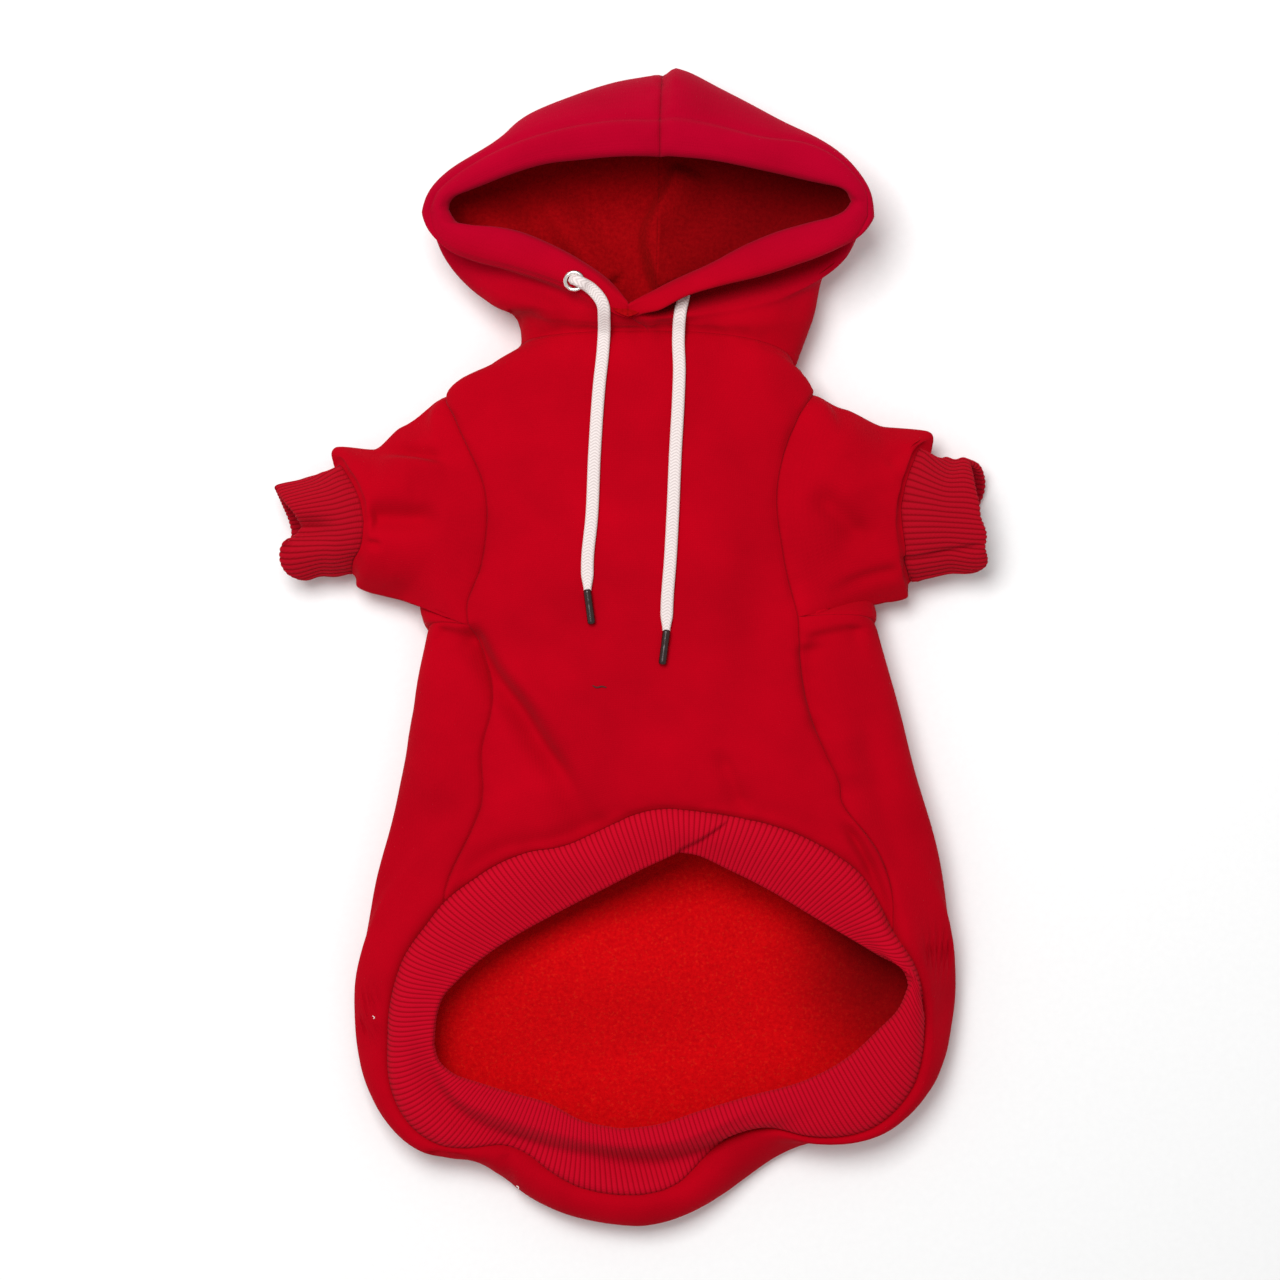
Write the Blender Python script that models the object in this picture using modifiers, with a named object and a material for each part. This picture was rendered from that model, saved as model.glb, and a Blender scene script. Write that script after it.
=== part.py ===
"""Dog hoodie of sweatshirt fleece, lying on its back with the belly side up.

The garment is one cloth tube with a mouth at each end: the hem, and the hood's face opening. Both
mouths face up, because the back of the tube is longer than its front and curls over at each end.
The tube is a stack of sections, each four points joined by quarters of superellipses, and the
panels, the hood halves and the hem band are cut from it along the seams. The sleeves and cuffs are
tubes of their own that start on the armholes. Metres, +Z up, +Y towards the hood, the origin on
the floor under the middle of the garment.
"""
from collections import namedtuple
from math import pi

import bpy
import numpy as np
from mathutils import Vector

# Driving dimensions, in metres
BODY_LENGTH = 0.432         # neck seam line to the end of the back
BODY_WIDTH = 0.288          # across the hips
BODY_HEIGHT = 0.042         # belly over the floor
HOOD_LENGTH = 0.125         # neck seam line to the crown
HOOD_WIDTH = 0.216          # across the face opening
HOOD_HEIGHT = 0.056         # hood's edge over the floor
SLEEVE_REACH = 0.026        # how far each cuff's end lies outside the hips
SLEEVE_WIDTH = 0.104        # a sleeve across its root, lying flat
SLEEVE_HEIGHT = 0.036       # sleeve over the floor
FLEECE_WALL = 0.0022        # sweatshirt fleece
CASING_WALL = 0.0046        # the same folded over the drawcord
RIB_WALL = 0.0030           # doubled rib knit
SEAM_GAP = 0.0006           # between the edges of two panels at a seam
CORD_WIDTH = 0.006          # flat braided drawcord
CORD_THICKNESS = 0.0026
AGLET_LENGTH = 0.015
AGLET_DIAMETER = 0.0038
EYELET_OUTER = 0.0104       # diameters of the metal ring
EYELET_INNER = 0.0062
EYELET_HEIGHT = 0.0012
EYELET_RISE = 0.0024        # how far the cord rises over its eyelet's ring
REST_GAP = 0.0003           # between a piece and what it lies on
CORD_START = 0.8            # share of its width where the cord leaves its eyelet
CORD_GRIPPED = 0.62         # and where its tip grips it

# How finely the surfaces are divided
RING_SAMPLES = 121
BELLY_COLUMNS = 15          # odd, so that the hood's halves meet the panels column to column
BACK_COLUMNS = 25
HOOD_ROWS = 15
BAND_ROWS = 4
ARMHOLE_ROWS = 9
SLEEVE_ROWS = 8
CUFF_ROWS = 4
CORD_SIDES = 8
CORD_POINT_STEP = 2.0       # widths of cord from one of its points to the next
AGLET_SIDES = 12
EYELET_STEPS = 20
CASING_ROWS = 4
ROLL_STATIONS = (1.0, 1.35, 1.7, 2.0, 2.3, 2.65, 3.0)      # the panels' rows round the back's rolled end
FLANK_ROWS = 8              # and from there to the armholes
SHOULDER_STATIONS = (9.7, 10.3)
LAYING_GRID = (260, 181)    # points of the upper side that the cords are laid on
LAYING_TURN = 0.9           # and how far round from the front they reach
TURN_STEP = 0.03            # steps over which the surface's slopes are taken
STATION_STEP = 0.06

NECK_LINE = 0.5 * (BODY_LENGTH - HOOD_LENGTH)
SLEEVE_SPAN = BODY_WIDTH + 2.0 * SLEEVE_REACH       # cuff end to cuff end

Section = namedtuple("Section", "name front right back left bends")
ArmSection = namedtuple("ArmSection", "name high top floor bottom")
Seam = namedtuple("Seam", "station left right")
Armhole = namedtuple("Armhole", "station left_front left_back right_front right_back")
Wave = namedtuple("Wave", "name turn width station spread draw")
Fold = namedtuple("Fold", "name x0 y0 x1 y1 width height")

# The body's sections, hem to neck. Each point is x (share of half BODY_WIDTH), y (share of
# BODY_LENGTH below the neck seam line) and z (share of BODY_HEIGHT). The bends are the exponents
# of the quarters front right, back right, back left and front left, each at its middle and at
# its side: 1 is an ellipse, less is squarer and 2 is straight. The section numbers, from 0, are
# the stations that the other tables use.
BODY_SECTIONS = (
    Section("band edge", (0.137, 0.583, 0.86), (0.910, 0.730, 0.72), (-0.037, 0.890, 0.60),
            (-0.657, 0.797, 0.68), ((1.7, 1.7), (1.2, 1.1), (1.5, 1.4), (1.5, 1.3))),
    Section("band seam", (0.137, 0.533, 0.98), (0.977, 0.769, 0.60), (0.013, 0.967, 0.55),
            (-0.820, 0.808, 0.58), ((1.0, 1.0), (1.3, 0.85), (1.3, 0.9), (1.15, 0.9))),
    Section("hip roll", (0.123, 0.502, 1.00), (1.077, 0.730, 0.36), (0.030, 1.001, 0.30),
            (-0.920, 0.769, 0.34), ((0.9, 0.9), (1.35, 0.87), (1.3, 0.87), (0.9, 1.0))),
    Section("hip floor", (0.110, 0.471, 1.00), (1.063, 0.697, 0.28), (0.037, 0.967, -0.05),
            (-0.900, 0.719, 0.27), ((0.85, 0.85), (1.2, 0.8), (1.2, 0.8), (0.9, 1.0))),
    Section("loin", (0.097, 0.438, 0.98), (1.025, 0.613, 0.32), (0.047, 0.791, -0.06),
            (-0.828, 0.617, 0.32), ((0.85, 0.8), (0.8, 0.65), (0.8, 0.65), (0.85, 0.8))),
    Section("waist", (0.083, 0.393, 0.97), (0.940, 0.502, 0.34), (0.063, 0.624, -0.06),
            (-0.760, 0.502, 0.34), ((0.85, 0.8), (0.7, 0.55), (0.7, 0.55), (0.85, 0.8))),
    Section("rib", (0.070, 0.336, 0.96), (0.873, 0.402, 0.36), (0.063, 0.491, -0.06),
            (-0.707, 0.402, 0.36), ((0.85, 0.8), (0.7, 0.55), (0.7, 0.55), (0.85, 0.8))),
    Section("armpit", (0.063, 0.269, 0.95), (0.803, 0.316, 0.40), (0.063, 0.374, -0.06),
            (-0.670, 0.316, 0.40), ((0.85, 0.8), (0.7, 0.55), (0.7, 0.55), (0.85, 0.8))),
    Section("arm", (0.063, 0.158, 0.94), (0.690, 0.191, 0.42), (0.063, 0.241, -0.06),
            (-0.633, 0.191, 0.42), ((0.85, 0.8), (0.7, 0.55), (0.7, 0.55), (0.85, 0.8))),
    Section("arm top", (0.063, 0.063, 0.92), (0.623, 0.080, 0.40), (0.063, 0.124, -0.06),
            (-0.633, 0.082, 0.40), ((0.85, 0.8), (0.7, 0.55), (0.7, 0.55), (0.85, 0.8))),
    Section("shoulder", (0.063, 0.026, 0.90), (0.583, 0.060, 0.40), (0.063, 0.074, -0.06),
            (-0.473, 0.044, 0.38), ((0.85, 0.8), (0.7, 0.55), (0.7, 0.55), (0.85, 0.8))),
    Section("neck", (0.057, 0.006, 0.86), (0.553, 0.048, 0.40), (0.063, 0.047, -0.06),
            (-0.373, 0.019, 0.36), ((0.85, 0.8), (0.7, 0.55), (0.7, 0.55), (0.85, 0.8))),
)

# The hood's sections, neck to edge, their stations counted on from the neck's. Each point is x
# (share of half HOOD_WIDTH), y (share of HOOD_LENGTH above the neck seam line) and z (share of
# HOOD_HEIGHT).
HOOD_SECTIONS = (
    Section("throat", (0.040, 0.000, 0.68), (0.818, 0.038, 0.30), (0.107, 0.108, -0.04),
            (-0.529, 0.062, 0.27), ((0.9, 0.8), (0.7, 0.6), (0.7, 0.6), (0.9, 0.8))),
    Section("cheek", (0.022, 0.010, 0.71), (0.871, 0.231, 0.30), (0.120, 0.415, -0.04),
            (-0.716, 0.177, 0.25), ((1.1, 0.9), (0.8, 0.6), (0.8, 0.6), (1.1, 0.9))),
    Section("ear", (0.009, 0.020, 0.74), (1.000, 0.312, 0.36), (0.129, 0.762, -0.02),
            (-0.867, 0.300, 0.32), ((1.3, 1.0), (1.3, 1.1), (1.25, 1.05), (1.4, 1.0))),
    Section("crown", (-0.004, 0.030, 0.77), (1.062, 0.377, 0.52), (0.142, 0.969, 0.25),
            (-0.924, 0.385, 0.48), ((1.5, 1.1), (1.5, 1.3), (1.4, 1.25), (1.6, 1.1))),
    Section("crown top", (-0.013, 0.040, 0.80), (1.076, 0.423, 0.72), (0.138, 0.938, 0.62),
            (-0.933, 0.431, 0.70), ((1.7, 1.3), (1.4, 1.2), (1.3, 1.15), (1.8, 1.3))),
    Section("casing seam", (-0.018, 0.050, 0.81), (1.027, 0.454, 0.84), (0.129, 0.781, 0.93),
            (-0.880, 0.450, 0.82), ((1.9, 1.5), (1.1, 1.0), (1.1, 1.0), (1.9, 1.6))),
    Section("hood edge", (-0.022, 0.064, 0.84), (0.956, 0.462, 0.82), (0.129, 0.654, 0.98),
            (-0.760, 0.442, 0.80), ((1.9, 2.2), (1.0, 1.0), (1.0, 1.0), (1.9, 2.8))),
)

# Where the rolled end of the back is drawn in: turn round the ring, station, and the share of
# the way to the ring's middle.
WAVES = (
    Wave("right lobe", 1.60, 0.20, 2.0, 1.6, 0.105),
    Wave("left lobe", 2.46, 0.13, 2.0, 1.6, 0.045),
)

# Side seams: turns from the front middle at each station, up to the armpit.
SIDE_SEAMS = (
    Seam(1.0, 0.60, 0.74),
    Seam(2.0, 0.46, 0.47),
    Seam(3.0, 0.44, 0.44),
    Seam(4.0, 0.49, 0.44),
    Seam(5.0, 0.54, 0.485),
    Seam(6.4, 0.72, 0.56),
)

# Armholes: turns of their front and back edges, armpit to shoulder. Above them the shoulder
# seams lie at turn 1.
ARMHOLES = (
    Armhole(6.40, 0.72, 0.72, 0.56, 0.56),
    Armhole(6.75, 0.74, 0.94, 0.56, 0.90),
    Armhole(7.20, 0.70, 1.24, 0.56, 1.22),
    Armhole(7.80, 0.71, 1.42, 0.59, 1.40),
    Armhole(8.40, 0.82, 1.36, 0.71, 1.35),
    Armhole(8.80, 0.90, 1.22, 0.84, 1.22),
    Armhole(9.15, 1.00, 1.00, 1.00, 1.00),
)

# Each arm's sections, from the armhole over the cuff's seam to its free edge. Each point is x
# (share of half SLEEVE_SPAN outwards), y (share of SLEEVE_WIDTH from the arm's middle line) and z
# (share of SLEEVE_HEIGHT); the points are the highest, the one towards the shoulder, the one on
# the floor and the one towards the hem.
LEFT_ARM = (
    ArmSection("root", (0.420, -0.05, 1.02), (0.540, 0.53, 0.46),
               (0.560, 0.00, -0.06), (0.545, -0.47, 0.46)),
    ArmSection("middle", (0.620, -0.05, 0.98), (0.700, 0.36, 0.46),
               (0.690, 0.00, -0.06), (0.700, -0.42, 0.44)),
    ArmSection("puff", (0.735, -0.06, 0.95), (0.830, 0.31, 0.48),
               (0.790, -0.01, -0.04), (0.775, -0.39, 0.42)),
    ArmSection("cuff seam", (0.765, -0.05, 0.88), (0.855, 0.21, 0.48),
               (0.815, -0.02, 0.02), (0.795, -0.32, 0.44)),
    ArmSection("cuff", (0.850, -0.06, 0.84), (0.928, 0.16, 0.48),
               (0.890, -0.04, 0.02), (0.885, -0.33, 0.44)),
    ArmSection("cuff edge", (0.942, -0.06, 0.78), (0.998, 0.12, 0.50),
               (0.962, -0.05, 0.04), (0.974, -0.28, 0.46)),
)
RIGHT_ARM = (
    ArmSection("root", (0.440, -0.05, 1.02), (0.525, 0.53, 0.46),
               (0.575, 0.00, -0.06), (0.580, -0.46, 0.46)),
    ArmSection("middle", (0.610, -0.01, 0.98), (0.655, 0.43, 0.46),
               (0.665, 0.00, -0.06), (0.700, -0.43, 0.44)),
    ArmSection("puff", (0.745, 0.01, 0.95), (0.815, 0.39, 0.48),
               (0.780, 0.00, -0.04), (0.785, -0.42, 0.42)),
    ArmSection("cuff seam", (0.765, 0.00, 0.88), (0.855, 0.31, 0.48),
               (0.815, -0.01, 0.02), (0.800, -0.34, 0.44)),
    ArmSection("cuff", (0.870, -0.01, 0.84), (0.925, 0.25, 0.48),
               (0.900, -0.03, 0.02), (0.895, -0.31, 0.44)),
    ArmSection("cuff edge", (0.975, -0.05, 0.78), (0.994, 0.18, 0.50),
               (0.976, -0.04, 0.04), (0.990, -0.25, 0.46)),
)
ARMS = {"left": LEFT_ARM, "right": RIGHT_ARM}
CUFF_SEAM = 3               # station of the seam between sleeve and cuff
ARM_BLEND = 1.3             # stations over which a sleeve leaves its armhole's own shape
CASING_TAPER = 0.35         # turns from the throat over which the casing gets its full wall
FOLD_FADE = 0.3             # turns over which the folds fade out towards the outline
ARM_BENDS = ((0.8, 0.85), (0.7, 0.6), (0.7, 0.6), (0.8, 0.85))
ARM_MIDDLE = {"left": 0.188, "right": 0.186}     # share of BODY_LENGTH below the neck line

# Folds and grooves of the upper side, from one end to the other, x and y as in BODY_SECTIONS,
# the width and the height (negative in a groove) as shares of BODY_HEIGHT.
FOLDS = (
    Fold("armpit groove, upper", -0.530, 0.335, -0.360, 0.430, 0.20, -0.10),
    Fold("armpit groove, lower", -0.360, 0.430, -0.165, 0.535, 0.20, -0.09),
    Fold("ridge along the groove", -0.420, 0.350, -0.120, 0.500, 0.20, 0.06),
    Fold("right side valley", 0.560, 0.335, 0.700, 0.540, 0.20, -0.09),
    Fold("right side ridge", 0.640, 0.350, 0.800, 0.540, 0.18, 0.06),
    Fold("shoulder drape", 0.230, 0.030, 0.420, 0.190, 0.24, -0.05),
    Fold("left sleeve crease", -0.880, 0.135, -0.590, 0.150, 0.16, 0.05),
    Fold("left sleeve hollow", -0.860, 0.185, -0.590, 0.175, 0.18, -0.05),
    Fold("right sleeve hollow", 0.640, 0.200, 0.790, 0.235, 0.18, -0.07),
    Fold("right sleeve crease", 0.590, 0.315, 0.900, 0.270, 0.14, -0.07),
)

# The two free ends of the drawcord, eyelet to aglet: x and y in metres, laid on the garment
CORD_ROUTES = {
    "left": ((-0.0275, 0.1780), (-0.0185, 0.1722), (-0.0134, 0.1645), (-0.0127, 0.1560), (-0.0131, 0.1440),
             (-0.0151, 0.1243), (-0.0173, 0.0922), (-0.0187, 0.0614), (-0.0206, 0.0422), (-0.0206, 0.0264)),
    "right": ((0.0254, 0.1675), (0.0235, 0.1598), (0.0226, 0.1478), (0.0230, 0.1320), (0.0226, 0.1200),
              (0.0211, 0.0922), (0.0199, 0.0640), (0.0187, 0.0420), (0.0172, 0.0220), (0.0168, 0.0072)),
}
AGLET_ENDS = {"left": (-0.0187, 0.0120), "right": (0.0149, -0.0077)}
EYELET_PLACES = {"left": (17.45, -0.30), "right": (16.60, 0.22)}     # station and turn

RED_FLEECE = (0.45, 0.002, 0.012, 1.0)
RED_HOOD = (0.47, 0.003, 0.018, 1.0)
RED_RIB = (0.40, 0.003, 0.016, 1.0)
WHITE_CORD = (0.86, 0.83, 0.80, 1.0)
BLACK_TIP = (0.03, 0.02, 0.02, 1.0)
BRIGHT_METAL = (0.75, 0.74, 0.72, 1.0)


def body_point(share):
    """A point of the body's table in metres."""
    x, y, z = share
    return (x * 0.5 * BODY_WIDTH, NECK_LINE - y * BODY_LENGTH, z * BODY_HEIGHT)


def hood_point(share):
    """A point of the hood's table in metres."""
    x, y, z = share
    return (x * 0.5 * HOOD_WIDTH, NECK_LINE + y * HOOD_LENGTH, z * HOOD_HEIGHT)


def section_rows(sections, to_metres):
    """Each section as one row: its four points in metres, then its four pairs of bends."""
    rows = []
    for section in sections:
        corners = [to_metres(share) for share in (section.front, section.right, section.back, section.left)]
        rows.append(np.concatenate([np.ravel(corners), np.ravel(section.bends)]))
    return np.array(rows)


def arm_rows(side):
    """An arm's sections as rows, their points in the order in which its rings turn."""
    outwards = -1.0 if side == "left" else 1.0
    middle = NECK_LINE - ARM_MIDDLE[side] * BODY_LENGTH
    rows = []
    for section in ARMS[side]:
        corners = []
        for share in (section.high, section.top, section.floor, section.bottom):
            corners.append((outwards * share[0] * 0.5 * SLEEVE_SPAN, middle + share[1] * SLEEVE_WIDTH,
                            share[2] * SLEEVE_HEIGHT))
        if side == "right":
            corners = [corners[0], corners[3], corners[2], corners[1]]
        rows.append(np.concatenate([np.ravel(corners), np.ravel(ARM_BENDS)]))
    return np.array(rows)


def smooth_step(value):
    """0 below 0, 1 above 1 and smooth between."""
    value = np.clip(value, 0.0, 1.0)
    return value * value * (3.0 - 2.0 * value)


def curve_through(knots, values, where):
    """Values on a smooth curve through the knots, each knot's slope taken from its neighbours."""
    slopes = np.gradient(values, knots, axis=0)
    index = np.clip(np.searchsorted(knots, where, side="right") - 1, 0, len(knots) - 2)
    step = (knots[index + 1] - knots[index])[:, None]
    share = (where - knots[index])[:, None] / step
    start, end = values[index], values[index + 1]
    return (start * (1 + 2 * share) * (1 - share) ** 2 + slopes[index] * step * share * (1 - share) ** 2
            + end * share ** 2 * (3 - 2 * share) + slopes[index + 1] * step * share ** 2 * (share - 1))


def quarter(middle, side, bends, share, across):
    """Points of a quarter of a superellipse, at shares of its length from its middle to its side.

    The sine leads along the axis named across, and the cosine along the other two.
    """
    phi = np.linspace(0.0, 0.5 * pi, RING_SAMPLES)
    sine = np.sin(phi)[:, None] ** bends[0]
    cosine = np.maximum(np.cos(phi), 0.0)[:, None] ** bends[1]
    corner = np.where(np.arange(3) == across, middle, side)
    dense = corner + (middle - corner) * cosine + (side - corner) * sine
    length = np.concatenate([[0.0], np.cumsum(np.linalg.norm(np.diff(dense, axis=0), axis=1))])
    return np.stack([np.interp(share * length[-1], length, dense[:, axis]) for axis in range(3)], axis=1)


def ring(row, turns, across):
    """Points of a section at turns 0 (front), 1, 2 (back) and 3 round it."""
    front, first, back, second = row[:12].reshape(4, 3)
    bends = row[12:].reshape(4, 2)
    turns = np.mod(turns, 4.0)
    points = np.zeros((len(turns), 3))
    quarters = ((front, first, turns), (back, first, 2.0 - turns), (back, second, turns - 2.0),
                (front, second, 4.0 - turns))
    for index, (middle, side, share) in enumerate(quarters):
        inside = (turns >= index) & (turns < index + 1)
        points[inside] = quarter(middle, side, bends[index], share[inside], across)
    return points


def relief(points, turns):
    """Height of the folds at each point, fading out towards the outline at turn 1 and 3."""
    height = np.zeros(points.shape[:-1])
    for fold in FOLDS:
        start = np.array(body_point((fold.x0, fold.y0, 0.0)))[:2]
        end = np.array(body_point((fold.x1, fold.y1, 0.0)))[:2]
        line = end - start
        share = np.sum((points[..., :2] - start) * line, axis=-1) / np.dot(line, line)
        nearest = start + np.clip(share, 0.0, 1.0)[..., None] * line
        off = np.linalg.norm(points[..., :2] - nearest, axis=-1) / (fold.width * BODY_HEIGHT)
        height += fold.height * BODY_HEIGHT * np.exp(-off ** 2)
    from_front = np.minimum(np.mod(turns, 4.0), 4.0 - np.mod(turns, 4.0))
    return height * smooth_step((1.0 - from_front) / FOLD_FADE)


BODY_ROWS = section_rows(BODY_SECTIONS, body_point)
TUBE_ROWS = np.vstack([BODY_ROWS, section_rows(HOOD_SECTIONS, hood_point)])
NECK = len(BODY_SECTIONS) - 1
HOOD_EDGE = len(TUBE_ROWS) - 1
CASING_SEAM = HOOD_EDGE - 1


def tube(stations, turns):
    """The garment's outer surface, one ring of turns for each station from the hem."""
    rows = curve_through(np.arange(len(TUBE_ROWS), dtype=float), TUBE_ROWS, stations)
    grid = np.stack([ring(row, turn, 0) for row, turn in zip(rows, turns)])
    middle = rows[:, :12].reshape(-1, 4, 3).mean(axis=1)[:, None, :2]
    draw = np.zeros(grid.shape[:2])
    for wave in WAVES:
        round_ring = np.exp(-((np.mod(turns, 4.0) - wave.turn) / wave.width) ** 2)
        draw += wave.draw * round_ring * np.exp(-((stations[:, None] - wave.station) / wave.spread) ** 2)
    grid[..., :2] += (middle - grid[..., :2]) * draw[..., None]
    grid[..., 2] = np.maximum(grid[..., 2] + relief(grid, turns), 0.0)
    return grid


def facing(along_turn, along_station):
    """Unit normals from the two directions of a surface."""
    normal = np.cross(along_turn, along_station)
    return normal / np.linalg.norm(normal, axis=-1, keepdims=True)


def tube_normals(stations, turns):
    """The outer surface's outward normals, the same on both sides of every seam."""
    low = np.maximum(stations - STATION_STEP, 0.0)
    high = np.minimum(stations + STATION_STEP, float(HOOD_EDGE))
    return facing(tube(stations, turns + TURN_STEP) - tube(stations, turns - TURN_STEP),
                  tube(high, turns) - tube(low, turns))


def seam_turns(stations, side):
    """Turns of the front panel's edge and of the back panel's edge at each station."""
    seam = np.array([[row.station, getattr(row, side)] for row in SIDE_SEAMS])
    hole = np.array([[row.station, getattr(row, side + "_front"), getattr(row, side + "_back")]
                     for row in ARMHOLES])
    along = curve_through(seam[:, 0], seam[:, 1:], stations)[:, 0]
    edges = curve_through(hole[:, 0], hole[:, 1:], np.clip(stations, hole[0, 0], hole[-1, 0]))
    below = stations <= hole[0, 0]
    above = stations >= hole[-1, 0]
    front = np.where(below, along, np.where(above, 1.0, edges[:, 0]))
    back = np.where(below, along, np.where(above, 1.0, edges[:, 1]))
    return front, back


def armhole_stations():
    """Stations of the panels' rows along the armholes, closer together at both ends."""
    share = 0.5 - 0.5 * np.cos(np.linspace(0.0, pi, ARMHOLE_ROWS))
    return ARMHOLES[0].station + share * (ARMHOLES[-1].station - ARMHOLES[0].station)


def body_stations():
    """Stations of the body panels' rows, with one on each end of the armholes."""
    hole = armhole_stations()
    flank = np.linspace(ROLL_STATIONS[-1], hole[0], FLANK_ROWS + 1)[1:]
    return np.concatenate([ROLL_STATIONS, flank, hole[1:], SHOULDER_STATIONS, [float(NECK)]])


def spread(start, end, count):
    """Turns from start to end of each row, as a grid."""
    share = np.linspace(0.0, 1.0, count)[None, :]
    return start[:, None] + (end - start)[:, None] * share


def trimmed(grid, normals, rows=(True, True), columns=(True, True)):
    """The grid with its edges drawn back in the surface, square to themselves, by half a gap."""
    moved = grid.copy()
    borders = ((rows[0], np.s_[0], np.s_[1]), (rows[1], np.s_[-1], np.s_[-2]),
               (columns[0], np.s_[:, 0], np.s_[:, 1]), (columns[1], np.s_[:, -1], np.s_[:, -2]))
    for wanted, edge, inside in borders:
        if not wanted:
            continue
        inwards = np.cross(normals[edge], np.gradient(grid[edge], axis=0))
        inwards *= np.sign(np.sum(inwards * (grid[inside] - grid[edge]), axis=-1, keepdims=True))
        moved[edge] += 0.5 * SEAM_GAP * inwards / np.linalg.norm(inwards, axis=-1, keepdims=True)
    return moved


def armhole_loop(side):
    """Points, normals and turns round the arm of an armhole's edge, on the body panels' rows."""
    stations = armhole_stations()
    front, back = seam_turns(stations, side)
    sign = -1.0 if side == "left" else 1.0
    edges = [np.concatenate([tube(stations, (sign * edge)[:, None])[:, 0],
                             tube_normals(stations, (sign * edge)[:, None])[:, 0]], axis=1)
             for edge in (front, back)]
    share = np.linspace(0.0, 1.0, ARMHOLE_ROWS)[:-1]
    if side == "left":
        loop = np.vstack([edges[0][:-1], edges[1][:0:-1]])
        turns = np.concatenate([3.0 + 2.0 * share, 1.0 + 2.0 * share])
    else:
        loop = np.vstack([edges[1][:-1], edges[0][:0:-1]])
        turns = np.concatenate([1.0 + 2.0 * share, 3.0 + 2.0 * share])
    return loop[:, :3], loop[:, 3:], np.mod(turns, 4.0)


def arm_grid(side):
    """An arm from its armhole to its cuff's edge: its outer surface, normals and cuff row.

    Each row is a ring that closes round, and the first is bent to the armhole's own edge.
    """
    loop, loop_normals, turns = armhole_loop(side)
    rows = arm_rows(side)
    along = np.concatenate([np.linspace(0.0, CUFF_SEAM, SLEEVE_ROWS),
                            np.linspace(CUFF_SEAM, len(rows) - 1.0, CUFF_ROWS)[1:]])
    values = curve_through(np.arange(len(rows), dtype=float), rows, along)
    grid = np.stack([ring(row, turns, 1) for row in values])
    fade = 1.0 - smooth_step(along / ARM_BLEND)
    grid += fade[:, None, None] * (loop - grid[0])[None]
    folds = relief(grid, np.broadcast_to(turns, grid.shape[:2]))
    grid[..., 2] = np.maximum(grid[..., 2] + folds * (1.0 - fade)[:, None], 0.0)
    normals = facing(np.roll(grid, -1, axis=1) - np.roll(grid, 1, axis=1), np.gradient(grid, axis=0))
    normals[0] = loop_normals
    return grid, normals, SLEEVE_ROWS - 1


def material(name, colour, roughness, metallic=0.0):
    """A Principled BSDF material of one colour."""
    made = bpy.data.materials.new(name)
    made.use_nodes = True
    shader = made.node_tree.nodes["Principled BSDF"]
    shader.inputs["Base Color"].default_value = colour
    shader.inputs["Roughness"].default_value = roughness
    shader.inputs["Metallic"].default_value = metallic
    return made


def add_object(name, data, finish):
    """An object in the garment's collection, with its material."""
    obj = bpy.data.objects.new(name, data)
    bpy.data.collections["dog_hoodie"].objects.link(obj)
    data.materials.append(finish)
    return obj


def add_cloth(name, outer, normals, wall, finish, closed=False):
    """A cloth panel: its outer surface, the inner one a wall inside it, and the edges between.

    Both surfaces are grids. The wall is lofted, and not a Solidify modifier's, because the pieces
    that meet at a seam share the seam's own normals, so that their edges lie side by side.
    """
    inner = outer - normals * wall
    rows, columns = outer.shape[:2]
    index = np.arange(rows * columns).reshape(rows, columns)
    if closed:
        index = np.hstack([index, index[:, :1]])
    under = index + rows * columns
    quads = [(index[:-1, :-1], index[:-1, 1:], index[1:, 1:], index[1:, :-1]),
             (under[:-1, :-1], under[1:, :-1], under[1:, 1:], under[:-1, 1:]),
             (index[0, 1:], index[0, :-1], under[0, :-1], under[0, 1:]),
             (index[-1, :-1], index[-1, 1:], under[-1, 1:], under[-1, :-1])]
    if not closed:
        quads.append((index[:-1, 0], index[1:, 0], under[1:, 0], under[:-1, 0]))
        quads.append((index[1:, -1], index[:-1, -1], under[:-1, -1], under[1:, -1]))
    faces = np.vstack([np.stack([np.ravel(corner) for corner in quad], axis=1) for quad in quads])
    mesh = bpy.data.meshes.new(name)
    mesh.from_pydata(np.vstack([outer.reshape(-1, 3), inner.reshape(-1, 3)]).tolist(), [], faces.tolist())
    mesh.shade_smooth()
    return add_object(name, mesh, finish)


def upper_surface():
    """Points all over the side that faces up, closely spaced, for laying the cords on."""
    stations = np.linspace(1.0, HOOD_EDGE, LAYING_GRID[0])
    turns = np.broadcast_to(np.linspace(-LAYING_TURN, LAYING_TURN, LAYING_GRID[1]), LAYING_GRID)
    return tube(stations, turns).reshape(-1, 3)


def height_at(surface, place, reach):
    """Height of the surface's highest point within reach of a place, or of its nearest point."""
    off = np.hypot(surface[:, 0] - place[0], surface[:, 1] - place[1])
    return float(surface[off <= max(reach, off.min()), 2].max())


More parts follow.
